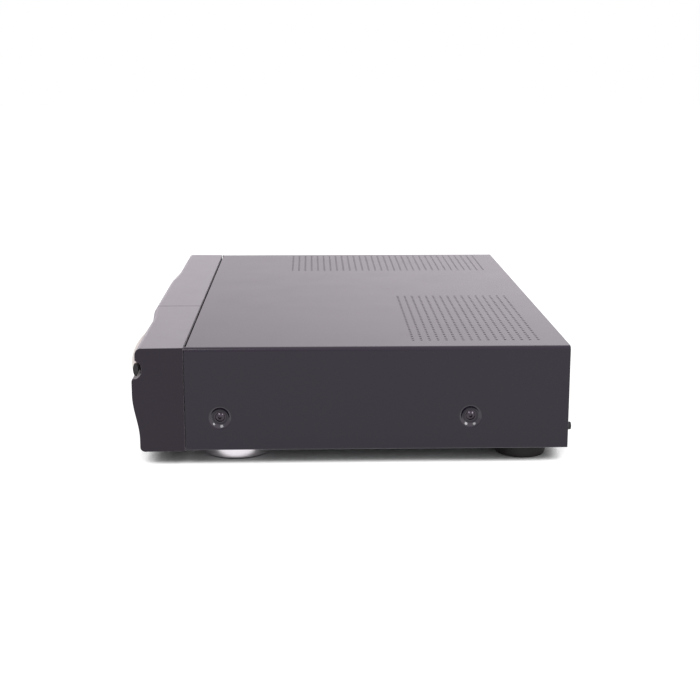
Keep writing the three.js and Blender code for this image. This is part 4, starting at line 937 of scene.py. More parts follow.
@dataclass(frozen=True)
class Case:
    """Sizes that the pieces of the case share."""

    width: float = 435
    depth: float = 283
    bottom: float = 10.8
    top: float = 88
    sheet: float = 1
    deck_x: float = 141
    moulding_seam: float = 60
    screws: Profile = ((25.9, 35.4), (210.4, 35.4))

    @property
    def half(self) -> float:
        """Half the width."""
        return self.width / 2

    def inwards(self, side: Side, profile: Sequence[Flat]) -> list[Flat]:
        """Turn (radius, depth inside one side of the case) points into (radius, place along X) points."""
        return [(radius, side.value * (self.half - depth)) for radius, depth in profile]

    def across(self, side: Side, depths: Span) -> Span:
        """Span along X between two depths inside one side of the case."""
        ends = sorted(side.value * (self.half - depth) for depth in depths)
        return ends[0], ends[1]


CASE = Case()


@dataclass
class Cover:
    """Wrap-around top cover of folded sheet, with vents and pressed screw dimples.

    The dish, its rims and the screw are (radius, depth) points, with the depth inwards from the side.
    """

    corner: float = 3
    front: float = 0.45
    top_front: float = 1.7
    edge: float = 0.25
    vent: float = 2.15
    pitch: float = 6.25
    last_row: float = 262.75
    near_start: float = 20.5
    near_counts: tuple[int, int] = (29, 16)
    far_start: float = -205.5
    far_counts: tuple[int, int] = (15, 31)
    dish: Profile = (
        (4.6, 2.4), (5.2, 2.36), (5.8, 2.14), (6.4, 1.72), (7, 1.19), (7.6, 0.71), (8.2, 0.36), (8.9, 0.12),
        (9.7, 0),
    )
    dish_draw: float = 0.8
    inner_rim: Profile = ((12.2, 0.5), (0, 0.5))
    outer_rim: Profile = ((11, -2), (0, -2))
    sunk: Span = (0.01, 3)
    cut_band: float = 0.3
    cut_facing: float = -0.2
    hole: float = 2.2
    hole_depths: Span = (9, -2)
    screw: Profile = (
        (0, 6.6), (1.6, 6.6), (1.9, 6.2), (1.9, 2.4), (4.3, 2.4), (4.3, 2.15), (3.6, 2.05), (3.5, 1.55),
        (3.3, 1.34), (2.9, 1.05), (2.5, 0.75), (2.1, 0.46), (1.8, 0.28), (1.5, 0.16), (0, 0.12),
    )
    star: Flat = (1.3, 0.24)
    star_depths: Span = (2.6, -1)

    def arch(self, half: float, top: float, radius: float) -> list[Flat]:
        """Open arch over the machine, from its right lower edge to its left one."""
        turns = [math.pi / 2 * i / 8 for i in range(9)]
        right = [(half - radius * (1 - math.cos(t)), top - radius * (1 - math.sin(t))) for t in turns]
        return [(half, CASE.bottom), *right, *[(-x, z) for x, z in reversed(right)], (-half, CASE.bottom)]

    def dished(self, side: Side, place: Flat, extra: float, rim: Sequence[Flat]) -> Object:
        """Solid under a dimple's surface, set inwards by extra and closed by the rim's points."""
        surface = [(r + extra * self.dish_draw, depth + extra) for r, depth in self.dish]
        return turned(Axis.X, place, CASE.inwards(side, [(0, surface[0][1]), *surface, *rim]), 72)

    def vents(self, start: float, counts: tuple[int, int]) -> Object:
        """Cutter for one field of round holes."""
        unit = rod(Axis.Z, (0, 0), self.vent / 2, (CASE.top - 3, CASE.top + 2), 10)
        first = (start, self.last_row - self.pitch * (counts[1] - 1), 0)
        return in_rows(unit, first, (self.pitch, self.pitch), counts, SATIN_STEEL)

    def build(self) -> None:
        """Build the cover and its four screws."""
        outer = self.arch(CASE.half, CASE.top, self.corner)
        inner = self.arch(CASE.half - CASE.sheet, CASE.top - CASE.sheet, self.corner - CASE.sheet)
        shell = prism(Axis.Y, [*outer, *reversed(inner)], (self.front, CASE.depth))
        reach = CASE.half - self.corner
        step = box((-reach, reach), (-1, self.top_front), (CASE.top - 2, CASE.top + 2))
        soften(cut(shell, step), self.edge)
        for side in Side:
            for place in CASE.screws:
                fuse(shell, self.dished(side, place, CASE.sheet, self.inner_rim))
                hole = rod(Axis.X, place, self.hole, CASE.across(side, self.hole_depths))
                cut(shell, self.dished(side, place, 0, self.outer_rim), hole)
        cut(shell, self.vents(self.near_start, self.near_counts), self.vents(self.far_start, self.far_counts))
        self.paint(shell)
        complete(shell, "sheet_steel_cover", None, "top_cover")
        for side in Side:
            names = [f"cover_screw_{side.suffix}_{end}" for end in ("front", "rear")]
            complete(self.screws(side), f"cover_screws_{side.suffix}", None, *names)

    def paint(self, shell: Object) -> None:
        """Coat the sheet, with a painted reflection of the floor in pale metal on the downward faces of its
        lower edge, and a smoother coat on the walls of the dimples.

        Args:
            shell: The cover's mesh.
        """
        painted(shell, SATIN_STEEL)
        for other in (PAINTED_EDGE_REFLECTION, PRESSED_STEEL):
            shell.data.materials.append(other.material())
        for face in shell.data.polygons:
            # Downward faces of the lower edge get pale metal: a painted reflection of the floor
            if face.center.z < CASE.bottom + self.cut_band and face.normal.z < self.cut_facing:
                face.material_index = 1
            elif self.pressed(face.center):
                face.material_index = 2

    def pressed(self, centre: Vector) -> bool:
        """Whether a face with this centre lies on the wall of a dimple."""
        shallow, deep = self.sunk
        near = min(math.dist((centre.y, centre.z), place) for place in CASE.screws)
        return shallow < CASE.half - abs(centre.x) < deep and self.dish[2][0] < near < self.dish[6][0]

    def screws(self, side: Side) -> Object:
        """Both screws of one side, with star recesses.

        Args:
            side: Side of the case.

        Returns:
            One mesh with both screws.
        """
        unit = turned(Axis.X, (0, 0), CASE.inwards(side, self.screw), 48)
        lobes = []
        for i in range(36):
            angle = math.pi * i / 18
            reach = self.star[0] + self.star[1] * math.cos(math.pi * i / 3)
            lobes.append((reach * math.cos(angle), reach * math.sin(angle)))
        cut(unit, prism(Axis.X, lobes, CASE.across(side, self.star_depths)))
        return on_places(unit, [(0, y, z) for y, z in CASE.screws], BLACK_ZINC)


@dataclass
class Fascia:
    """Moulded front in two pieces, with the groove that the tray doors lie in.

    Sections are (depth, height) points: the depth ahead of the seam, the height above the case's bottom.
    """

    belly: float = 37.6
    belly_height: float = 43
    toe: float = 32.7
    toe_height: float = 8
    toe_radius: float = 3.6
    undercut: float = 0.7
    wall: float = 2.5
    seam_gap: float = 0.1
    joint_half: float = 0.3
    edge: float = 0.35
    bulge: float = 3.5
    bulge_inner: float = 62
    bulge_outer: float = 112
    flare: float = 1.5
    brow: float = 30.6
    brow_round: Flat = (4.3, 5)
    lip: Profile = ((34.9, 70.4), (34.88, 68.6))
    groove: Flat = (35.5, 61.3)
    groove_half: Flat = (5.5, 6.7)
    groove_turn: Span = (99, 282)
    shoulder: Profile = ((37.1, 54.25), (37.4, 53.6), (37.56, 52.8))
    upright: Span = (51.8, 47)
    open_rear: float = -6
    inner_brow: Profile = ((31, 0), (32.4, 1.6))
    inner_groove: Profile = ((32.4, 70.6), (27.4, 70.2), (27.4, 52.2), (35.1, 52))
    inner_toe: Flat = (2.4, 4.5)
    door_level: float = 60.8
    window: tuple[Span, Span] = ((-56, 56), (29.3, 56.3))
    window_corner: float = 2.2
    opening: float = 138.6
    opening_levels: Span = (66.4, 76.4)
    through: Span = (-60, -20)
    phones: Flat = (-194.5, 29.6)
    phones_hole: float = 5.8
    post_radius: float = 3
    post_end: float = -27.3
    left_posts: Profile = ((-179.5, 45.8), (-179.5, 17.8), (-141, 17.8), (-65, 17.8), (-65, 45.8))
    right_posts: Profile = ((194.5, 17.8), (141, 17.8), (65, 17.8))
    tab_width: float = 34
    tab_reach: float = 6
    tab_levels: Span = (12.1, 13.1)
    trim_gap: float = 0.3
    trim_edge: float = 0.4
    trim_front: float = 36.6
    trim_reach: float = 65.9
    trim_height: float = 4.8

    def swell(self, x: float, depth: float) -> float:
        """Depth ahead of the seam at a place across the front, with the swell in the middle."""
        t = min(1.0, max(0.0, (self.bulge_outer - abs(x)) / (self.bulge_outer - self.bulge_inner)))
        return depth * (1 + self.bulge * t * t * (3 - 2 * t) / self.belly)

    def skin(self, x: float, z: float) -> float:
        """Depth of the outer skin below the groove, at a place on the front."""
        t = min(1.0, max(0.0, (z - CASE.bottom - self.toe_height) / (self.belly_height - self.toe_height)))
        return self.swell(x, self.toe + (self.belly - self.toe) * (1 - math.cos(math.pi * t)) / 2)

    def following(self, target: Object) -> Object:
        """Bend a piece made on the flat plane Y = 0 so that it follows the front's skin."""
        for corner in target.data.vertices:
            corner.co.y -= self.skin(corner.co.x, corner.co.z)
        return target

    def waist(self, count: int) -> list[Flat]:
        """Points of the outer skin beside the swell, in equal steps from the belly down to the toe."""
        drop = self.toe_height - self.belly_height
        heights = [self.belly_height + drop * i / count for i in range(count + 1)]
        return [(self.skin(self.bulge_outer, CASE.bottom + height), height) for height in heights]

    def outline(self) -> list[Flat]:
        """Outer section, from the top rear corner to the bottom one.

        Returns:
            (depth, height) points of a closed outline.
        """
        top, inset = CASE.top - CASE.bottom, self.toe_radius
        points = [(self.seam_gap, top), (self.brow, top)]
        (deep, high), turns = self.brow_round, [math.pi / 2 * i / 8 for i in range(1, 9)]
        points += [(self.brow + deep * math.sin(t), top - high * (1 - math.cos(t))) for t in turns]
        points += [*self.lip, *arc(self.groove, self.groove_half, self.groove_turn), *self.shoulder]
        points += [(self.belly, level) for level in self.upright]
        points += self.waist(14)
        depth, height = self.toe - inset, inset - self.undercut
        turns = [math.pi / 2 * i / 6 for i in range(7)]
        points += [(depth + inset * math.cos(t), height - inset * math.sin(t)) for t in turns]
        return [*points, (self.seam_gap, -self.undercut)]

    def hollow(self) -> list[Flat]:
        """Section of the room inside, open to the rear.

        Returns:
            (depth, height) points of a closed outline.
        """
        top, floor = CASE.top - CASE.bottom - self.wall, self.wall - self.undercut
        toe = self.toe - self.wall
        points = [(self.open_rear, top), *[(depth, top - down) for depth, down in self.inner_brow]]
        points += [*self.inner_groove, *[(depth - self.wall, height) for depth, height in self.waist(10)]]
        return [*points, (toe, self.inner_toe[1]), (toe - self.inner_toe[0], floor), (self.open_rear, floor)]

    def swept(self, points: Sequence[Flat], span: Span, flared: bool) -> Object:
        """Push a section across the front, with its swell.

        Args:
            points: (depth, height) points.
            span: From where to where along X.
            flared: True leans the case's ends outwards, as the outer skin does.

        Returns:
            A solid.
        """
        count = max(2, round((span[1] - span[0]) / 4))
        rings = []
        for i in range(count + 1):
            x = span[0] + (span[1] - span[0]) * i / count
            at_end = flared and abs(x) > CASE.half - 0.01
            lean = self.flare / self.belly * math.copysign(1, x) if at_end else 0
            depths = [d if d <= self.seam_gap else self.swell(x, d) for d, _ in points]
            rings.append([(x + lean * d, -deep, CASE.bottom + h) for deep, (d, h) in zip(depths, points)])
        return loft(rings)

    def posts(self, places: Sequence[Flat]) -> list[Object]:
        """Posts behind the skin, at places along X and Z, that the control board is screwed to."""
        spans = [(-self.skin(x, z) + self.wall / 2, self.post_end) for x, z in places]
        return [rod(Axis.Y, place, self.post_radius, span, 24) for place, span in zip(places, spans)]

    def moulding(self, span: Span, posts: Sequence[Flat], tabs: Sequence[float]) -> Object:
        """One hollow piece of the front, with its posts and its tabs.

        Args:
            span: From where to where along X.
            posts: Places of its posts.
            tabs: Middles of its tabs, which rest on the chassis.

        Returns:
            A solid.
        """
        made = soften(self.swept(self.outline(), span, True), self.edge, 2, 50)
        inside = CASE.half - self.wall
        cut(made, self.swept(self.hollow(), (-inside, inside), False))
        feet = [box(about(x, self.tab_width), (-self.wall, self.tab_reach), self.tab_levels) for x in tabs]
        return fuse(made, *self.posts(posts), *feet)

    def mouth(self, deck: float) -> Object:
        """Cutter for the way out of one tray."""
        return box(about(deck, self.opening), (self.through[0], -self.seam_gap), self.opening_levels)

    def build(self) -> None:
        """Build both mouldings and the trim between the tray doors."""
        seam, deck = CASE.moulding_seam, CASE.deck_x
        main = self.moulding((-CASE.half, seam - self.joint_half), self.left_posts, (-deck, 0))
        pane = prism(Axis.Y, rounded(*self.window, self.window_corner), self.through)
        cut(main, self.mouth(-deck), pane)
        cut(main, rod(Axis.Y, self.phones, self.phones_hole, self.through, 48), *CONTROLS.holes(Side.LEFT))
        complete(main, "front_moulding", FASCIA_ABS, "front_fascia")
        right = self.moulding((seam + self.joint_half, CASE.half), self.right_posts, (deck,))
        cut(right, self.mouth(deck), *CONTROLS.holes(Side.RIGHT))
        complete(right, "right_moulding", FASCIA_ABS, "fascia_right")
        self.build_trim()

    def build_trim(self) -> None:
        """Build the champagne bar between the two tray doors."""
        rear = self.groove[0] - self.groove_half[0] + self.trim_gap
        middle, half = (rear + self.trim_front) / 2, (self.trim_front - rear) / 2
        ring = circle((0, 0), 1, 40)
        section = [(middle + half * a, self.door_level + self.trim_height * b) for a, b in ring]
        bar = soften(self.swept(section, (-self.trim_reach, self.trim_reach), False), self.trim_edge, 3)
        complete(bar, "centre_trim_bar", CHAMPAGNE, "centre_trim")


@dataclass
class Control:
    """One button on the front: a rounded rectangle, or round where it has a radius."""

    name: str
    x: float
    z: float
    symbol: Symbol
    width: float = 17
    height: float = 7
    corner: float = 2.2
    radius: float = 0

    @property
    def side(self) -> Side:
        """Moulding that the button is in."""
        return Side.RIGHT if self.x > CASE.moulding_seam else Side.LEFT

    def outline(self, grow: float = 0) -> list[Flat]:
        """Outline along X and Z, grown outwards or shrunk inwards.

        Args:
            grow: How far it is grown.

        Returns:
            Points of a closed outline.
        """
        if self.radius:
            return circle((self.x, self.z), self.radius + grow, 64)
        wide, high = about(self.x, self.width + 2 * grow), about(self.z, self.height + 2 * grow)
        return rounded(wide, high, max(0.2, self.corner + grow), 7)

    def block(self, x: Span, z: Span) -> list[Flat]:
        """Rectangle about the button's centre."""
        corners = [(x[0], z[0]), (x[1], z[0]), (x[1], z[1]), (x[0], z[1])]
        return [(self.x + a, self.z + b) for a, b in corners]

    def sign(self) -> list[list[Flat]]:
        """Outlines of the plain sign on the button.

        Returns:
            One closed outline for each part of the sign.
        """
        x, z = self.x, self.z
        if self.symbol is Symbol.PLAY:
            return [[(x - 1.5, z - 1.7), (x + 1.7, z), (x - 1.5, z + 1.7)]]
        if self.symbol is Symbol.STOP:
            return [self.block((-1.4, 1.4), (-1.4, 1.4))]
        if self.symbol is Symbol.RECORD:
            return [circle((x, z), 1.6, 32)]
        if self.symbol is Symbol.OPEN:
            arrow = [(x - 1.8, z - 0.5), (x + 1.8, z - 0.5), (x, z + 1.7)]
            return [self.block((-1.8, 1.8), (-1.8, -1.1)), arrow]
        outer, inner = (arc((x, z), (radius, radius), (120, 420)) for radius in (2.6, 2.1))
        return [[*outer, *reversed(inner)], self.block((-0.25, 0.25), (0.6, 3))]


@dataclass
class Controls:
    """Buttons, jog knob, phones socket, display window and the tube behind it.

    A cap's steps are (inset, distance behind its face) pairs, from the rear to the front.
    """

    row: float = 47.8
    low_row: float = 31.8
    outer: float = 194.5
    inner: float = 77.75
    pitch: float = 23
    gap: float = 0.3
    proud: float = 0.9
    cap_rear: float = 2.8
    cap_steps: Profile = ((0, 0.45), (0.08, 0.2), (0.25, 0.05), (0.5, 0))
    flange: float = 1.3
    flange_depths: Span = (0.6, 2.2)
    stem: float = 2
    ink: Span = (-0.12, 0.2)
    knob: Flat = (172, 40.8)
    knob_radius: float = 15.5
    knob_length: float = 5
    knob_seat: float = 1.4
    shaft: float = 3
    shaft_hole: float = 3.4
    shaft_end: float = -6.3
    dimple: Profile = ((0, -1.5), (1.6, -1.3), (3.1, -0.4), (3.4, 1), (0, 1))
    flutes: int = 44
    collar: Profile = ((3.3, 0.4), (3.7, 0), (5.1, 0), (5.5, 0.4))
    collar_rear: float = -30.2
    jack_size: float = 14
    jack_length: float = 18
    board: float = -27
    pane_steps: Profile = ((0, 2), (0, 0.25), (0.1, 0.08), (0.3, 0))
    tube_half: float = 49
    tube_height: float = 22
    tube_depths: Span = (6.8, 0.3)
    tip: Profile = ((0, -34.8), (0.7, -34.6), (1.4, -33.6), (1.5, -32), (0, -32))
    digits: tuple[float, ...] = (-14, -7.5, 0, 6.5, 13)

    @property
    def buttons(self) -> list[Control]:
        """All the buttons on the front.

        Returns:
            Buttons from left to right in each moulding, the record button last.
        """
        made = [Control("power_button", -self.outer, self.row, Symbol.POWER, radius=7.5)]
        for side in Side:
            for step, symbol in enumerate((Symbol.OPEN, Symbol.PLAY, Symbol.STOP)):
                x = side.value * (self.inner + step * self.pitch)
                made.append(Control(f"{symbol.value}_button_{side.suffix}", x, self.row, symbol))
        return [*made, Control("record_button", self.inner + self.pitch, self.low_row, Symbol.RECORD)]

    def holes(self, side: Side) -> list[Object]:
        """Cutters for the controls of one moulding.

        Args:
            side: Side of the moulding.

        Returns:
            Solids to take out of it.
        """
        chosen = [button for button in self.buttons if button.side is side]
        cutters = [prism(Axis.Y, button.outline(self.gap), FASCIA.through) for button in chosen]
        if side is Side.RIGHT:
            seat = -FASCIA.skin(*self.knob) + self.knob_seat
            cutters.append(rod(Axis.Y, self.knob, self.knob_radius + 0.4, (FASCIA.through[0], seat), 72))
            cutters.append(rod(Axis.Y, self.knob, self.shaft_hole, FASCIA.through, 32))
        return cutters

    def cushion(self, outline: Callable[[float], list[Flat]], steps: Sequence[Flat], middle: Flat) -> Object:
        """Solid whose front follows the fascia's skin.

        Args:
            outline: Gives the outline for an inset.
            steps: (inset, distance behind the skin) of each ring, from the rear to the front.
            middle: Centre, along X and Z.

        Returns:
            A solid.
        """
        rings = [[(x, back, z) for x, z in outline(-inset)] for inset, back in steps]
        face, last, (a, b) = steps[-1][1], rings[-1], middle
        for share in (0.75, 0.5, 0.25):
            rings.append([(a + (x - a) * share, face, b + (z - b) * share) for x, _, z in last])
        return FASCIA.following(loft(rings))

    def build(self) -> None:
        """Build every control."""
        for button in self.buttons:
            self.build_button(button)
        self.build_knob()
        self.build_phones()
        self.build_display()

    def build_button(self, button: Control) -> None:
        """Build one button: cap, flange behind the wall, stem and sign.

        Args:
            button: The button to build.
        """
        steps = [(0, self.cap_rear), *[(inset, -self.proud + behind) for inset, behind in self.cap_steps]]
        cap = self.cushion(button.outline, steps, (button.x, button.z))
        behind = FASCIA.wall
        near, far = self.flange_depths
        rear = -FASCIA.skin(button.x, button.z) + behind + far
        front = max(-FASCIA.skin(button.x, z) for z in about(button.z, 8)) + behind + near
        flange = prism(Axis.Y, button.outline(self.flange), (front, rear))
        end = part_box(button.name)[1].y / MM - SEAM
        stem = rod(Axis.Y, (button.x, button.z), self.stem, (front, end), 24)
        pieces = [painted(fuse(cap, flange, stem), SATIN_SILVER)]
        ink = RED_INK if button.symbol is Symbol.RECORD else DARK_INK
        layer = (-self.proud + self.ink[0], -self.proud + self.ink[1])
        for outline in button.sign():
            pieces.append(painted(FASCIA.following(prism(Axis.Y, outline, layer)), ink))
        complete(together(*pieces), f"{button.name}_cap", None, button.name)

    def build_knob(self) -> None:
        """Build the jog knob: a fluted drum with a finger dish and a shaft."""
        radius, length = self.knob_radius, self.knob_length
        profile = [
            (0, length - 0.5), (radius - 3.4, length - 0.5), (radius - 3.0, length - 0.35),
            (radius - 2.6, length), (radius - 1.5, length), (radius - 1.0, length - 0.2),
            (radius - 0.75, length - 0.7), (radius - 0.75, 1.9), (radius - 0.3, 1.5), (radius, 1.2),
            (radius, 0.2), (radius - 0.2, 0), (0, 0),
        ]
        drum = turned(Axis.Z, (0, 0), profile, 112)
        cut(drum, turned(Axis.Z, (radius / 2, 0), [(r, length + up) for r, up in self.dimple], 48))
        fuse(drum, rod(Axis.Z, (0, 0), self.shaft, (self.shaft_end, 0.5), 32))
        flute = prism(Axis.Z, rounded((-1.2, 0.72), (-0.72, 0.72), 0.5, 3), (2.1, length - 0.9))
        ring = in_ring(flute, self.flutes, radius - 0.75, SATIN_SILVER)
        knob = together(painted(drum, SATIN_SILVER), ring)
        rear = -FASCIA.skin(*self.knob) + 1.0
        turn = Matrix.Rotation(math.pi / 2, 4, "X")
        knob.data.transform(Matrix.Translation((self.knob[0], rear, self.knob[1])) @ turn)
        complete(knob, "fluted_jog_knob", None, "jog_knob")

    def build_phones(self) -> None:
        """Build the phones socket: a threaded collar with a nut, and its body behind the wall."""
        place = FASCIA.phones
        low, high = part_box("phones_jack")
        rear, face = high.y / MM - SEAM, low.y / MM - SEAM
        front = rear - self.jack_length
        bore, rim = self.collar[0][0], self.collar[-1][0]
        ends = [(rim, self.collar_rear), (bore, self.collar_rear)]
        collar = turned(Axis.Y, place, [*[(r, face + back) for r, back in self.collar], *ends], 64)
        body = box(about(place[0], self.jack_size), (front, rear), about(place[1], self.jack_size))
        cut(soften(body, 0.6), rod(Axis.Y, place, bore, (front - 5, rear - 2.5), 48))
        lining = [(bore - 0.15, front - 1.5), (bore, front - 1.5), (bore, rear - 3), (bore - 0.15, rear - 3)]
        sleeve = painted(turned(Axis.Y, place, lining, 48), BRIGHT_STEEL)
        made = together(painted(collar, NICKEL), painted(body, BLACK_PLASTIC), sleeve)
        made["slot"] = BLACK_PLASTIC.slot
        complete(made, "phones_socket", None, "phones_jack")

    def pane(self, grow: float) -> list[Flat]:
        """Outline of the smoked pane along X and Z, grown outwards or shrunk inwards."""
        gap = self.gap
        across, up = ((low + gap - grow, high - gap + grow) for low, high in FASCIA.window)
        return rounded(across, up, FASCIA.window_corner - gap + grow, 6)

    def build_display(self) -> None:
        """Build the smoked pane and the fluorescent tube with its unlit segments."""
        middle = sum(FASCIA.window[1]) / 2
        pane = self.cushion(self.pane, self.pane_steps, (0, middle))
        complete(pane, "smoked_display_window", SMOKED_ACRYLIC, "display_window")
        front, rear = (self.board - depth for depth in self.tube_depths)
        glass = box((-self.tube_half, self.tube_half), (front, rear), about(middle, self.tube_height))
        tip = turned(Axis.Y, (self.tube_half - 3, middle), self.tip, 24)
        tube = painted(fuse(soften(glass, 0.8, 3), tip), TUBE_GLASS)
        bars = [(0, 3.3, 3.4, 0.7), (0, 0, 3.4, 0.7), (0, -3.3, 3.4, 0.7)]
        bars += [(sx * 2, sz * 1.65, 0.7, 2.4) for sx in (-1, 1) for sz in (-1, 1)]
        digit = gather(*[box(about(x, w), (-0.12, 0.1), about(z, h)) for x, z, w, h in bars])
        places = [(x + side.value * 22, front, middle - 1) for side in Side for x in self.digits]
        made = together(tube, on_places(digit, places, PHOSPHOR))
        complete(made, "fluorescent_display_tube", None, "display_tube")


FASCIA = Fascia()
CONTROLS = Controls()


@dataclass
class Doors:
    """Tray doors: oval bars that swell forwards, champagne, with a thin slice of black plastic at each end.
    """

    width: float = 149
    rear: float = 32.7
    front: float = 36.6
    crown: float = 7.4
    height: float = 9.6
    crown_height: float = 1.2
    cap: float = 0.9
    edge: float = 0.2

    def section(self, middle: float, x: float) -> list[Space]:
        """Loop of points of one door at a place across the front.

        Args:
            middle: Middle of the door.
            x: Place across the front.

        Returns:
            A closed loop.
        """
        share = 2 * (x - middle) / self.width
        bow = 1 - share * share
        front = self.front + FASCIA.swell(x, FASCIA.belly) - FASCIA.belly + self.crown * bow
        rear = FASCIA.swell(x, self.rear)
        half = (self.height + self.crown_height * bow) / 2
        level = CASE.bottom + FASCIA.door_level
        depth, reach = (rear + front) / 2, (front - rear) / 2
        return [(x, -depth - reach * a, level + half * b) for a, b in circle((0, 0), 1, 48)]

    def build(self) -> None:
        """Build both doors."""
        for side in Side:
            middle = side.value * CASE.deck_x
            start, end = about(middle, self.width)
            cuts = [start, start + self.cap, end - self.cap, end]
            parts = []
            for low, high, finish in zip(cuts, cuts[1:], (BLACK_PLASTIC, CHAMPAGNE, BLACK_PLASTIC)):
                count = 48 if finish is CHAMPAGNE else 2
                bar = loft([self.section(middle, low + (high - low) * i / count) for i in range(count + 1)])
                parts.append(painted(soften(bar, self.edge, 2, 60), finish))
            made = together(*parts)
            made["slot"] = CHAMPAGNE.slot
            complete(made, f"champagne_tray_door_{side.suffix}", None, f"tray_door_{side.suffix}")


@dataclass
class Feet:
    """Two wide silver feet in front and two smaller rubber feet behind.

    The profiles are (radius, height) points.
    """

    front: Flat = (181, 36.5)
    rear: Flat = (190, 252)
    cup: Profile = (
        (0, 10.7), (24.8, 10.7), (25.5, 10.5), (25.9, 9.9), (26, 9.1), (26, 2.2), (25.9, 1.5), (25.6, 1),
        (25.1, 0.75), (24.4, 0.7), (24.1, 1.3), (0, 1.3),
    )
    pad: Profile = (
        (0, 1.8), (24.2, 1.8), (24.4, 0.4), (24, 0), (21.8, 0), (21.4, 0.4), (21.4, 1.2), (0, 1.2),
    )
    heel: Profile = (
        (0, 10.7), (18.6, 10.7), (19.2, 10.4), (19.5, 9.7), (19.4, 8), (18.9, 3), (18.7, 1), (18.4, 0.4),
        (17.8, 0), (15.6, 0), (15.2, 0.4), (15, 1.2), (0, 1.2),
    )

    def build(self) -> None:
        """Build all four feet."""
        for side in Side:
            place = (side.value * self.front[0], self.front[1])
            cup = painted(turned(Axis.Z, place, self.cup, 128), SILVER)
            pad = painted(turned(Axis.Z, place, self.pad, 96), RUBBER)
            complete(together(cup, pad), f"silver_foot_{side.suffix}", None, f"foot_front_{side.suffix}")
            heel = turned(Axis.Z, (side.value * self.rear[0], self.rear[1]), self.heel, 96)
            complete(heel, f"rubber_foot_{side.suffix}", RUBBER, f"foot_rear_{side.suffix}")


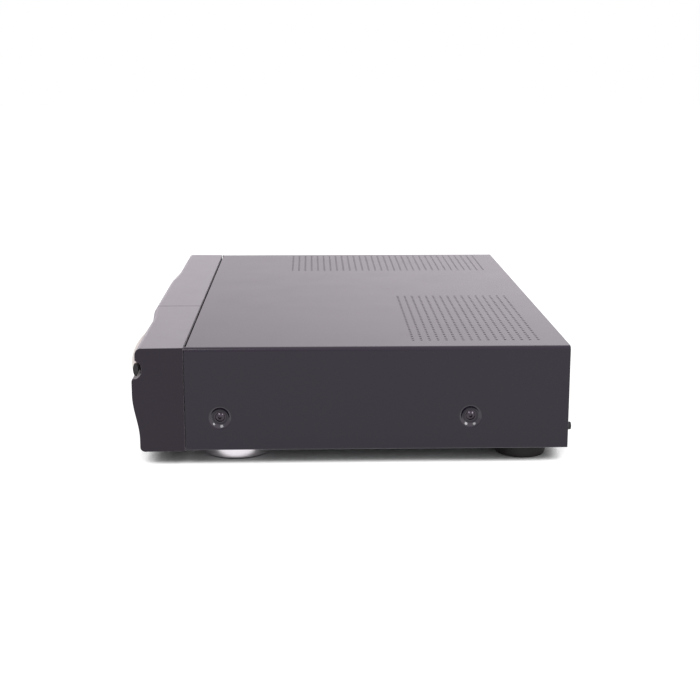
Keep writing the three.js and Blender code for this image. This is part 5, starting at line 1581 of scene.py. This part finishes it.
@dataclass
class Rear:
    """Chassis, rear panel and the sockets on it.

    Turned parts are (radius, place along Y) points.
    """

    face: float = 282
    front_edge: tuple[Span, Span, Span] = ((-220, 220), (-1, 1.5), (9, 60))
    screw: Profile = (
        (0, 1.5), (1.2, 1.45), (2.4, 1.05), (2.9, 0.4), (3, 0), (1.4, 0), (1.4, -4), (0, -4),
    )
    cross: tuple[Span, Span, Span] = ((-1.7, 1.7), (0.6, 3), (-0.35, 0.35))
    screw_columns: tuple[float, ...] = (-206, -103, 0, 64, 154, 206)
    screw_rows: Flat = (16.5, 80)
    block_depth: Span = (268.7, 280.7)
    block_height: Span = (15, 40.5)
    rows: Flat = (19.5, 33.5)
    analog: Flat = (170, 156)
    analog_block: Span = (149, 197)
    digital: float = 118
    digital_block: Span = (111, 139)
    barrel: Profile = (
        (3.55, 276), (3.55, 291.2), (3.7, 291.5), (4.0, 291.5), (4.15, 291.3), (4.15, 284.4), (4.15, 283.6),
        (4.15, 276),
    )
    insert: Profile = ((1.7, 276), (1.7, 290.5), (2.1, 291), (3.2, 291), (3.55, 290.6), (3.55, 276))
    mini_jack: Flat = (190, 19.5)
    mini_collar: Profile = (
        (1.8, 276), (1.8, 290), (2.1, 290.4), (2.6, 290.4), (3, 290), (3, 284.4), (2.9, 283.6), (2.9, 276),
    )
    mini_spring: Profile = ((1.55, 278), (1.8, 278), (1.8, 288), (1.55, 288))
    optical: float = 132
    shutter: float = 9.5
    shutter_depth: Span = (278, 283.3)
    shutter_dip: float = 6.4
    shutter_dip_depth: Span = (282.6, 285)
    inlet: Flat = (-176, 30.8)
    inlet_screw: float = 21
    pin: float = 1.25
    pin_shift: float = 4.3
    pin_depth: Span = (266, 281)

    def build(self) -> None:
        """Build the metalwork and the sockets."""
        chassis = cut(carried("bottom_chassis", 0), box(*self.front_edge))
        complete(chassis, "zinc_plated_chassis", ZINC_STEEL, "bottom_chassis")
        complete(carried("rear_panel", 0), "rear_sheet_panel", SATIN_STEEL, "rear_panel")
        complete(self.screws(), "rear_screws", None, rides="case")
        mini = [
            painted(turned(Axis.Y, self.mini_jack, self.mini_collar, 48), BLACK_PLASTIC),
            painted(turned(Axis.Y, self.mini_jack, self.mini_spring, 32), NICKEL),
        ]
        places = [(x, z) for x in self.analog for z in self.rows]
        finishes = (BLACK_PLASTIC, RED_PLASTIC, WHITE_ACETAL)
        self.build_phono("analog_sockets", self.analog_block, places, finishes, mini)
        places = [(self.digital, z) for z in self.rows]
        finishes = (GREY_PLASTIC, ORANGE_PLASTIC, BLACK_PLASTIC)
        lids = [self.lid(z) for z in self.rows]
        self.build_phono("digital_sockets", self.digital_block, places, finishes, lids)
        self.build_inlet()

    def screws(self) -> Object:
        """All the cross-head screws of the rear panel.

        Returns:
            One mesh with all the screws.
        """
        unit = turned(Axis.Y, (0, 0), self.screw, 32)
        wide, depth, narrow = self.cross
        cut(unit, box(wide, depth, narrow), box(narrow, depth, wide))
        places = [(x, self.face, z) for x in self.screw_columns for z in self.screw_rows]
        for shift in (-self.inlet_screw, self.inlet_screw):
            places.append((self.inlet[0] + shift, self.face, self.inlet[1]))
        return on_places(unit, places, BLACK_ZINC)

    def lid(self, z: float) -> Object:
        """Square lid of one optical socket."""
        made = soften(box(about(self.optical, self.shutter), self.shutter_depth, about(z, self.shutter)), 0.5)
        dip = box(about(self.optical, self.shutter_dip), self.shutter_dip_depth, about(z, self.shutter_dip))
        return painted(cut(made, dip), BLACK_PLASTIC)

    def build_inlet(self) -> None:
        """Build the mains inlet with its two pins."""
        inlet = painted(carried("mains_inlet", 0.4), BLACK_PLASTIC)
        pins = []
        for shift in (-self.pin_shift, self.pin_shift):
            place = (self.inlet[0] + shift, self.inlet[1])
            pins.append(painted(rod(Axis.Y, place, self.pin, self.pin_depth, 24), NICKEL))
        complete(together(inlet, *pins), "mains_inlet_socket", None, "mains_inlet")

    def build_phono(
        self,
        node: str,
        span: Span,
        places: Sequence[Flat],
        finishes: Sequence[Finish],
        extra: Sequence[Object],
    ) -> None:
        """Build a block of phono sockets.

        Args:
            node: Node that it replaces.
            span: From where to where the block reaches along X.
            places: Centres of the sockets, along X and Z.
            finishes: Finish of the block, then those of its inserts, which come by turns.
            extra: More painted pieces on the same block.
        """
        body, *colours = finishes
        parts = [painted(soften(box(span, self.block_depth, self.block_height), 0.6), body)]
        for i, place in enumerate(places):
            parts.append(painted(turned(Axis.Y, place, self.barrel, 48), NICKEL))
            parts.append(painted(turned(Axis.Y, place, self.insert, 48), colours[i % 2]))
        complete(together(*parts, *extra), f"{node}_block", None, node)


@dataclass
class Electronics:
    """Boards, transformer and heat sink behind the decks.

    A resistor or diode has a radius, the height of its axis and half its length, and rows of them have a
    start and a step along X and along Y.
    """

    board_y: Span = (174, 278)
    board_z: Span = (13, 14.6)
    main_x: Span = (-83.66, 206.5)
    power_x: Span = (-206.5, -106.66)
    steps: tuple[float, ...] = (-1.5, -0.5, 0.5, 1.5)
    chip_y: float = 226
    chip_middle: float = 61.4
    chip_pitch: float = 48
    chip_size: float = 24
    chip_legs: int = 14
    can: Flat = (5, 16)
    can_pitch: float = 15
    main_cans: Flat = (162, 184)
    power_cans: float = -116.66
    resistor: Space = (1.1, 1.2, 3)
    resistors: tuple[Flat, Flat] = ((-60, 11), (190, 6))
    diode: Space = (1.4, 1.6, 4)
    diodes: tuple[Flat, Flat] = ((-190, 12), (240, 8))
    connector_y: float = 262
    connectors: tuple[float, ...] = (-40, 10, 60)
    core_x: Span = (-200.5, -152.58)
    core_y: Span = (193, 219)
    core_top: float = 54.9
    bobbin: Flat = (21.9, 46.5)
    winding_z: Span = (23, 46.8)
    bolt: Profile = ((0, -2), (2.4, -2), (2.6, -1.7), (2.6, 0.3), (0, 0.3))
    bolt_rows: Flat = (18.9, 50.9)
    plate_x: Span = (-144.58, -139.58)
    plate_y: Span = (196, 256)
    plate_top: float = 50.9
    fin_x: Span = (-142, -130.58)
    fin_rows: tuple[float, float, int] = (201, 10, 6)

    def board(self, x: Span, finish: Finish) -> Object:
        """Bare board between two places along X."""
        return painted(soften(box(x, self.board_y, self.board_z), 0.15), finish)

    def chips(self, places: Sequence[Space], side: float, legs: int) -> list[Object]:
        """Flat chips with legs on two sides.

        Args:
            places: Where they go.
            side: Length of a chip.
            legs: Legs on each of two sides.

        Returns:
            The bodies and the legs.
        """
        unit = soften(box(about(0, side), about(0, side - 4), (0.6, 3)), 0.3)
        leg = box((-0.25, 0.25), (-side / 2 + 0.4, side / 2 - 0.4), (0, 0.9))
        run = in_rows(leg, (-side / 2 + 1.5, 0, 0), ((side - 3) / (legs - 1), 1), (legs, 1), NICKEL)
        return [on_places(unit, places, BLACK_PLASTIC), on_places(run, places, NICKEL)]

    def cans(self, places: Sequence[Space]) -> list[Object]:
        """Round capacitors with a sleeve and a bare scored top.

        Args:
            places: Where they go.

        Returns:
            The sleeves and the tops.
        """
        radius, height = self.can
        profile = [
            (0, 0), (radius - 0.3, 0), (radius, 0.4), (radius, 1.6), (radius - 0.35, 2), (radius - 0.35, 2.3),
            (radius, 2.7), (radius, height - 0.5), (radius - 0.5, height), (radius - 1, height),
            (radius - 1, height - 1), (0, height - 1),
        ]
        top = rod(Axis.Z, (0, 0), radius - 1.05, (height - 1.2, height - 0.15), 32)
        long, short, score = (-3, 3), (-0.2, 0.2), (height - 0.4, height + 1)
        cut(top, box(long, short, score), box(short, long, score))
        sleeves = on_places(turned(Axis.Z, (0, 0), profile, 32), places, SLEEVE)
        return [sleeves, on_places(top, places, BRIGHT_STEEL)]

    def barrels(self, size: Space, rows: tuple[Flat, Flat], count: int, turns: int, finish: Finish) -> Object:
        """Small round parts that lie along X.

        Args:
            size: Radius, height of the axis and half the length.
            rows: Start and step along X, and along Y.
            count: How many there are.
            turns: After how many of them the place along Y starts again.
            finish: Finish of them all.

        Returns:
            One mesh with all the parts.
        """
        radius, level, half = size
        (x, x_step), (y, y_step) = rows
        places = [(x + x_step * i, y + y_step * (i % turns), self.board_z[1]) for i in range(count)]
        unit = soften(rod(Axis.X, (0, level), radius, (-half, half), 12), 0.3)
        return on_places(unit, places, finish)

    def build(self) -> None:
        """Build the electronics."""
        self.build_main_board()
        self.build_power_board()
        self.build_transformer()
        self.build_heat_sink()
        board = carried("control_board", 0.15)
        complete(board, "control_board_assembly", BROWN_BOARD, "control_board")

    def build_main_board(self) -> None:
        """Build the main board with its chips, capacitors, resistors and connectors."""
        z = self.board_z[1]
        chips = [(self.chip_middle + self.chip_pitch * s, self.chip_y, z) for s in self.steps]
        cans = [(self.main_cans[0] + self.can_pitch * s, self.main_cans[1], z) for s in self.steps]
        plug = soften(box((-12, 12), (-3, 3), (0, 7)), 0.4)
        made = together(
            self.board(self.main_x, GREEN_BOARD),
            *self.chips(chips, self.chip_size, self.chip_legs),
            *self.cans(cans),
            self.barrels(self.resistor, self.resistors, 16, 3, WHITE_ACETAL),
            on_places(plug, [(x, self.connector_y, z) for x in self.connectors], WHITE_ACETAL),
        )
        complete(made, "populated_main_board", None, "main_board")

    def build_power_board(self) -> None:
        """Build the power board with its capacitors and diodes."""
        cans = [(self.power_cans, self.board_y[0] + self.can_pitch * k, self.board_z[1]) for k in (1, 2, 3)]
        made = together(
            self.board(self.power_x, BROWN_BOARD),
            *self.cans(cans),
            self.barrels(self.diode, self.diodes, 4, 2, BLACK_PLASTIC),
        )
        complete(made, "populated_power_board", None, "power_board")

    def build_transformer(self) -> None:
        """Build the transformer: core, bobbin, winding and bolts."""
        (left, right), (front, rear) = self.core_x, self.core_y
        core = box(self.core_x, self.core_y, (self.board_z[1] + 0.3, self.core_top))
        parts = [painted(soften(core, 0.6), IRON_CORE)]
        for low in self.bobbin:
            flange = soften(box((left + 6, right - 6), (front - 6, rear + 6), (low, low + 1.4)), 0.3)
            parts.append(painted(flange, WHITE_ACETAL))
        turns = rounded((left + 7, right - 7), (front - 7, rear + 7), 6, 8)
        parts.append(painted(prism(Axis.Z, turns, self.winding_z), COPPER_WIRE))
        bolts = [(x, front, z) for x in (left + 4, right - 4) for z in self.bolt_rows]
        parts.append(on_places(turned(Axis.Y, (0, 0), self.bolt, 6), bolts, BRIGHT_STEEL))
        complete(together(*parts), "mains_transformer", None, "transformer")

    def build_heat_sink(self) -> None:
        """Build the heat sink: a plate with a row of fins."""
        z = (self.board_z[1] + 0.3, self.plate_top)
        plate = painted(soften(box(self.plate_x, self.plate_y, z), 0.4), BLACK_ALUMINIUM)
        fin = soften(box(self.fin_x, (-0.75, 0.75), z), 0.3)
        start, pitch, count = self.fin_rows
        fins = in_rows(fin, (0, start, 0), (1, pitch), (1, count), BLACK_ALUMINIUM)
        complete(together(plate, fins), "finned_heat_sink", None, "heat_sink")


@dataclass
class Deck:
    """One disc deck, made about X = 0 and then moved to its side.

    Turned parts are (radius, height above the table) points.
    """

    side: Side
    axis_y: float = 39
    tray_half: float = 66
    tray_front: float = -32.4
    tray_rear: float = 150
    tray_bottom: float = 66.8
    tray_floor: float = 72.2
    tray_top: float = 76
    tongue: float = 2.5
    tongue_front: float = -26.4
    tongue_bottom: float = 70.2
    slot_half: float = 18
    finger: float = 15
    rack_x: float = -54
    rack_back: float = 4.5
    rack_y: Span = (-16, 136)
    rack_top: float = 70.5
    rack_tooth: Flat = (0.38, 0.13)
    gear: Flat = (-42, -8)
    motor: Flat = (-4, -11.5)
    teeth: int = 12
    module: float = 2
    tooth_z: Span = (67.2, 69.8)
    wheel: Profile = (
        (2.4, 54.8), (12.6, 54.8), (13, 55.1), (13, 55.6), (11.4, 56.2), (11.4, 57.4), (13, 58), (13, 58.5),
        (12.6, 58.8), (4, 58.8), (4, 67.2),
    )
    can: Profile = (
        (0, 37.7), (9.2, 37.7), (10, 38.5), (10, 50.9), (9.2, 51.7), (4, 51.7), (4, 52.4), (0, 52.4),
    )
    can_end: tuple[float, Span] = (8.4, (36.9, 38))
    can_end_lift: float = 0.9
    shaft: tuple[float, Span] = (1, (51, 59))
    pulley: Profile = (
        (0, 54.8), (3.7, 54.8), (4, 55.1), (4, 55.7), (3, 56.2), (3, 57.4), (4, 57.9), (4, 58.5), (3.7, 58.8),
        (0, 58.8),
    )
    belt: Flat = (12.25, 3.8)
    belt_z: float = 56.8
    belt_radius: float = 0.7
    plate: Profile = (
        (0, 59.6), (5, 59.6), (5, 70), (14.6, 70), (15, 70.4), (15, 72.5), (14.7, 72.8), (8.6, 72.8),
        (8.2, 72.6), (7.4, 72.8), (7.3, 73.2), (6.9, 73.9), (6, 74.35), (0, 74.4),
    )
    mat: Profile = ((9.2, 72.6), (14.2, 72.6), (14.2, 73), (9.2, 73))
    lens_shift: float = 24
    lens_ring: Profile = ((3.6, 66), (6.2, 66), (6.4, 66.6), (5.6, 67.8), (3.6, 68.2))
    lens: Profile = ((0, 66.6), (3.5, 66.6), (3.5, 67.8), (2.8, 68.3), (1.6, 68.6), (0, 68.7))
    screw_axis: Flat = (27.5, 62)
    screw_y: Span = (46, 121)
    screw_radius: float = 1.26
    thread: float = 0.22
    thread_pitch: float = 3

    def node(self, name: str) -> str:
        """Name of one of this deck's nodes."""
        return f"{name}_{self.side.suffix}"

    def put(self, target: Object, name: str, finish: Finish | None, *nodes: str) -> None:
        """Move a piece to this deck and complete it, on the case where it replaces no node."""
        shifted(target, (self.side.value * CASE.deck_x, 0, 0))
        complete(target, self.node(name), finish, *map(self.node, nodes), rides="" if nodes else "case")

    def copy(self, node: str, width: float = 0.25) -> Object:
        """Rounded copy of one of this deck's nodes, about X = 0."""
        return shifted(carried(self.node(node), width), (-self.side.value * CASE.deck_x, 0, 0))

    def build(self) -> None:
        """Build the deck's pieces."""
        self.build_tray()
        self.build_drive()
        self.build_motor()
        self.build_turntable()
        self.build_base()
        self.build_frame()

    def rack(self) -> Object:
        """Rack under the tray, with straight-sided teeth.

        Returns:
            A solid that is fused to the tray.
        """
        pitch = math.pi * self.module
        root, tip = self.rack_x - 1.25 * self.module, self.rack_x + 0.8 * self.module
        start, end = self.rack_y
        foot, head = (share * pitch for share in self.rack_tooth)
        points = [(root - self.rack_back, start), (root, start)]
        place = math.ceil((start - self.gear[1]) / pitch) + 0.5
        while self.gear[1] + (place + 0.4) * pitch < end:
            y = self.gear[1] + place * pitch
            points += [(root, y - foot), (tip, y - head), (tip, y + head), (root, y + foot)]
            place += 1
        points += [(root, end), (root - self.rack_back, end)]
        return prism(Axis.Z, points, (self.tray_bottom, self.rack_top))

    def build_tray(self) -> None:
        """Build the tray with its two disc recesses, tongues and rack."""
        half, floor, top, centre = self.tray_half, self.tray_floor, self.tray_top, (0, self.axis_y)
        tray = box((-half, half), (self.tray_front, self.tray_rear), (self.tray_bottom, top))
        wide = half + self.tongue
        fuse(tray, box((-wide, wide), (self.tongue_front, self.tray_rear), (self.tongue_bottom, floor)))
        recess = [
            (0, floor), (60.4, floor), (61, floor + 0.5), (61, top - 0.8), (61.9, top + 0.1), (61.9, 80),
            (0, 80),
        ]
        inner = [
            (0, floor - 0.7), (40.6, floor - 0.7), (41, floor - 0.3), (41.4, floor + 0.1), (41.4, 74),
            (0, 74),
        ]
        cut(tray, turned(Axis.Z, centre, recess, 144), turned(Axis.Z, centre, inner, 112))
        slot, above = (-self.slot_half, self.slot_half), (60, 80)
        cut(tray, rod(Axis.Z, centre, self.slot_half, above, 72), box(slot, (self.axis_y, 156), above))
        cut(tray, *[rod(Axis.Z, (x, self.axis_y), self.finger, (floor, 80), 72) for x in (-half, half)])
        lane, below = self.rack_x - 1.25 * self.module, (60, self.tongue_bottom)
        room = box((20.4, 63.6), (self.axis_y, 147.6), below)
        cut(tray, box((lane, -20.4), (-27.6, 156), below), room)
        cut(tray, box((-18, 63.6), (-27.6, 18.6), below))
        soften(tray, 0.35, 2, 50)
        self.put(fuse(tray, self.rack()), "moulded_tray", GREY_PLASTIC, "disc_tray")

    def build_drive(self) -> None:
        """Build the pinion with its pulley."""
        m = self.module
        radius, step = m * self.teeth / 2, math.pi * m
        bore, hub = self.wheel[0][0], radius - 2.4
        profile = [*self.wheel, *[(hub, z) for z in self.tooth_z], (bore, self.tooth_z[1])]
        wheel = painted(turned(Axis.Z, (0, 0), profile, 96), WHITE_ACETAL)
        tooth = [(-0.4, -0.33 * step), (1.2 * m, -0.17 * step), (2.05 * m, -0.1 * step)]
        tooth += [(x, -y) for x, y in reversed(tooth)]
        unit = soften(prism(Axis.Z, tooth, self.tooth_z), 0.15)
        ring = in_ring(unit, self.teeth, radius - 1.25 * m, WHITE_ACETAL)
        self.put(shifted(together(wheel, ring), (*self.gear, 0)), "drive_pinion", None, "drive_gear")

    def build_motor(self) -> None:
        """Build the loading motor, with its can, shaft, pulley and end cap, and the belt."""
        cap = soften(rod(Axis.Z, self.motor, *self.can_end, 48), 0.3)
        made = together(
            painted(turned(Axis.Z, self.motor, self.can, 72), BRIGHT_STEEL),
            painted(rod(Axis.Z, self.motor, *self.shaft, 24), BRIGHT_STEEL),
            painted(turned(Axis.Z, self.motor, self.pulley, 48), BLACK_PLASTIC),
            painted(shifted(cap, (0, 0, self.can_end_lift)), WHITE_ACETAL),
        )
        self.put(made, "loading_motor_can", None, "loading_motor")
        self.put(looped(self.belt_path(), self.belt_radius, RUBBER), "loading_belt", None)

    def belt_path(self) -> list[Space]:
        """Closed path round the pinion's pulley and the motor's.

        Returns:
            Points of a closed path.
        """
        (gx, gy), (mx, my), (big, small) = self.gear, self.motor, self.belt
        along = math.atan2(my - gy, mx - gx)
        lean = math.acos((big - small) / math.hypot(mx - gx, my - gy))
        path = []
        for i in range(41):
            t = along + lean + (2 * math.pi - 2 * lean) * i / 40
            path.append((gx + big * math.cos(t), gy + big * math.sin(t), self.belt_z))
        for i in range(25):
            t = along - lean + 2 * lean * i / 24
            path.append((mx + small * math.cos(t), my + small * math.sin(t), self.belt_z))
        return path

    def build_turntable(self) -> None:
        """Build the turntable, its motor, and the clamp puck with its bridge."""
        centre = (0, self.axis_y)
        plate = painted(turned(Axis.Z, centre, self.plate, 96), BLACK_PLASTIC)
        mat = painted(turned(Axis.Z, centre, self.mat, 96), RUBBER)
        self.put(together(plate, mat), "turntable_hub", None, "turntable")
        self.put(self.copy("spindle_motor", 0.5), "spindle_motor_can", BRIGHT_STEEL, "spindle_motor")
        self.put(self.copy("clamp_puck", 0.4), "clamp_puck_disc", BLACK_PLASTIC, "clamp_puck")
        self.put(self.copy("clamp_bridge", 0.3), "clamp_bridge_bar", ZINC_STEEL, "clamp_bridge")

    def build_base(self) -> None:
        """Build the tilting base unit, the sled with its lens, and the lead screw."""
        self.put(self.copy("base_unit", 0), "diecast_base_unit", DIECAST, "base_unit")
        place = (0, self.axis_y + self.lens_shift)
        made = together(
            painted(self.copy("optical_sled", 0), BLACK_PLASTIC),
            painted(turned(Axis.Z, place, self.lens_ring, 64), GREY_PLASTIC),
            painted(turned(Axis.Z, place, self.lens, 48), LENS_GLASS),
        )
        self.put(made, "sled_with_lens", None, "optical_sled")
        self.put(self.lead_screw(), "lead_screw_thread", BRIGHT_STEEL, "lead_screw")

    def lead_screw(self) -> Object:
        """Screw whose round section runs round the axis once for each turn of its thread.

        Returns:
            A solid about X = 0.
        """
        start, end = self.screw_y
        rings = []
        for i in range(301):
            y = start + (end - start) * i / 300
            share = min(1.0, (y - start) / 2, (end - y) / 2)
            turn = 2 * math.pi * y / self.thread_pitch
            x = self.screw_axis[0] + self.thread * share * math.cos(turn)
            z = self.screw_axis[1] + self.thread * share * math.sin(turn)
            rings.append([in_space(Axis.Y, p, y) for p in circle((x, z), self.screw_radius, 14)])
        return loft(rings)

    def build_frame(self) -> None:
        """Build the loader frame and the cam slider."""
        self.put(self.copy("loader_frame", 0), "moulded_loader_frame", BLACK_PLASTIC, "loader_frame")
        self.put(self.copy("cam_slider", 0.2), "cam_slider_plate", WHITE_ACETAL, "cam_slider")


# Studio


@dataclass(frozen=True)
class Lamp:
    """Round soft lamp: its direction in degrees, its width in metres and how bright its face is."""

    name: str
    azimuth: float
    elevation: float
    size: float
    glare: float


@dataclass
class Studio:
    """White floor, soft light and the camera at the photograph's angle, in metres and degrees.

    A range holds the lowest and highest input, then the values that they become.
    """

    azimuth: float = 88.217
    elevation: float = 11.538
    roll: float = 0.087
    position: Space = (1.1307, -0.03095, 0.2991)
    lens: float = 66.32
    sensor: float = 36
    shift: float = -0.0514
    white: str = "#ffffff"
    floor_size: float = 12
    floor_colour: str = "#b4b4b4"
    # Distance and range of the ambient occlusion that paints shade into the floor's glow
    open_distance: float = 0.05
    open_range: Limits = (0.23, 0.54, 0, 1)
    daylight: float = 0.63
    glow: float = 0.9
    mirror_glow: float = 0.78
    wall_colour: str = "#fff8ff"
    wall_slope: Space = (0, 1, 0.5)
    wall_range: Limits = (0.03, 0.27, 0.97, 1.27)
    lamp_distance: float = 1.7
    lamps: tuple[Lamp, ...] = (Lamp("rear_lamp", 51, 38, 0.5, 8), Lamp("front_lamp", -28, 50, 0.56, 5.5))

    def build(self) -> None:
        """Build the studio."""
        self.build_world()
        self.build_floor()
        self.build_lamps()
        self.build_camera()

    def seen(self, tree: NodeTree) -> tuple[Socket, Socket]:
        """Whether a camera ray meets the surface, and whether a glossy or transmitted one does."""
        path = add_node(tree, "ShaderNodeLightPath").outputs
        both = {0: path["Is Glossy Ray"], 1: path["Is Transmission Ray"]}
        return path["Is Camera Ray"], add_node(tree, "ShaderNodeMath", both, operation="MAXIMUM").outputs[0]

    def build_world(self) -> None:
        """White for the camera, walls that brighten to the rear for glossy rays, softer as a light."""
        world = bpy.data.worlds.new("studio")
        bpy.context.scene.world = world
        tree = blank_tree(world)
        way = add_node(tree, "ShaderNodeTexCoord").outputs["Generated"]
        slope = add_node(tree, "ShaderNodeVectorMath", {0: way, 1: self.wall_slope}, operation="DOT_PRODUCT")
        limits = {"Value": slope.outputs["Value"], **dict(zip(RANGE_INPUTS, self.wall_range))}
        level = add_node(tree, "ShaderNodeMapRange", limits).outputs[0]
        lights = (self.wall_colour, level), (self.white, self.daylight), (self.white, 1.0)
        walls, soft, plain = (
            add_node(tree, "ShaderNodeBackground", {"Color": linear(code), "Strength": strength}).outputs[0]
            for code, strength in lights
        )
        camera, mirrored = self.seen(tree)
        lit = add_node(tree, "ShaderNodeMixShader", {0: mirrored, 1: soft, 2: walls})
        mixed = add_node(tree, "ShaderNodeMixShader", {0: camera, 1: lit.outputs[0], 2: plain})
        add_node(tree, "ShaderNodeOutputWorld", {"Surface": mixed.outputs[0]})

    def build_floor(self) -> None:
        """Floor that looks white: its matt part takes the machine's real shadow, and its glow has painted
        shade, dimmed by ambient occlusion beneath and beside the machine.
        """
        half = self.floor_size / 2
        corners = [(-half, -half, 0), (half, -half, 0), (half, half, 0), (-half, half, 0)]
        floor = mesh_object("floor", corners, [(0, 1, 2, 3)])
        paper = bpy.data.materials.new("white_paper")
        tree = blank_tree(paper)
        matt = add_node(tree, "ShaderNodeBsdfDiffuse", {"Color": linear(self.floor_colour)})
        # Painted shade: the glow is dimmed by ambient occlusion, to none beneath the machine and in full in
        # the open
        sky = add_node(tree, "ShaderNodeAmbientOcclusion", {"Distance": self.open_distance}, samples=8)
        limits = {"Value": sky.outputs["AO"], **dict(zip(RANGE_INPUTS, self.open_range))}
        clear = add_node(tree, "ShaderNodeMapRange", limits).outputs[0]
        camera, mirrored = self.seen(tree)
        near = add_node(tree, "ShaderNodeMath", {0: mirrored, 1: self.mirror_glow}, operation="MULTIPLY")
        terms = {0: camera, 1: self.glow, 2: near.outputs[0]}
        share = add_node(tree, "ShaderNodeMath", terms, operation="MULTIPLY_ADD")
        lift = add_node(tree, "ShaderNodeMath", {0: share.outputs[0], 1: clear}, operation="MULTIPLY")
        shining = {"Color": linear(self.white), "Strength": lift.outputs[0]}
        glow = add_node(tree, "ShaderNodeEmission", shining)
        both = add_node(tree, "ShaderNodeAddShader", {0: matt.outputs[0], 1: glow.outputs[0]})
        add_node(tree, "ShaderNodeOutputMaterial", {"Surface": both.outputs[0]})
        floor.data.materials.append(paper)

    def build_lamps(self) -> None:
        """Two small soft lamps on the camera's side, which draw the highlights on rims and screws."""
        for chosen in self.lamps:
            turn, lift = math.radians(chosen.azimuth), math.radians(chosen.elevation)
            way = Vector((math.cos(turn) * math.cos(lift), math.sin(turn) * math.cos(lift), math.sin(lift)))
            lamp = bpy.data.lights.new(chosen.name, "AREA")
            lamp.size, lamp.shape = chosen.size, "DISK"
            # A lamp's power is its brightness times pi times the area of its face
            lamp.energy = chosen.glare * math.pi * math.pi * chosen.size**2 / 4
            held = linked(chosen.name, lamp)
            held.location = way * self.lamp_distance
            held.rotation_euler = (-way).to_track_quat("-Z", "Y").to_euler()

    def build_camera(self) -> None:
        """Camera solved from the photograph."""
        az, el = math.radians(self.azimuth), math.radians(self.elevation)
        back = Vector((math.sin(az) * math.cos(el), -math.cos(az) * math.cos(el), math.sin(el)))
        right = Vector((math.cos(az), math.sin(az), 0))
        turn = Matrix((right, back.cross(right), back)).transposed().to_4x4()
        lean = Matrix.Rotation(math.radians(self.roll), 4, "Z")
        data = bpy.data.cameras.new("camera")
        data.lens, data.sensor_width, data.shift_y = self.lens, self.sensor, self.shift
        camera = linked("camera", data)
        camera.matrix_world = Matrix.Translation(self.position) @ turn @ lean
        bpy.context.scene.camera = camera
        bpy.context.scene.view_settings.view_transform = "Standard"


def main() -> None:
    """Build the machine, one sub-assembly after the other, then the studio."""
    logging.basicConfig(level=logging.INFO, format="%(message)s")
    decks = [Deck(side) for side in Side]
    parts = [Cover(), FASCIA, CONTROLS, Doors(), Feet(), Rear(), Electronics(), *decks]
    for part in parts:
        LOG.info("Building: %s", type(part).__name__)
        part.build()
    Studio().build()
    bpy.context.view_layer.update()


if __name__ == "__main__":
    main()
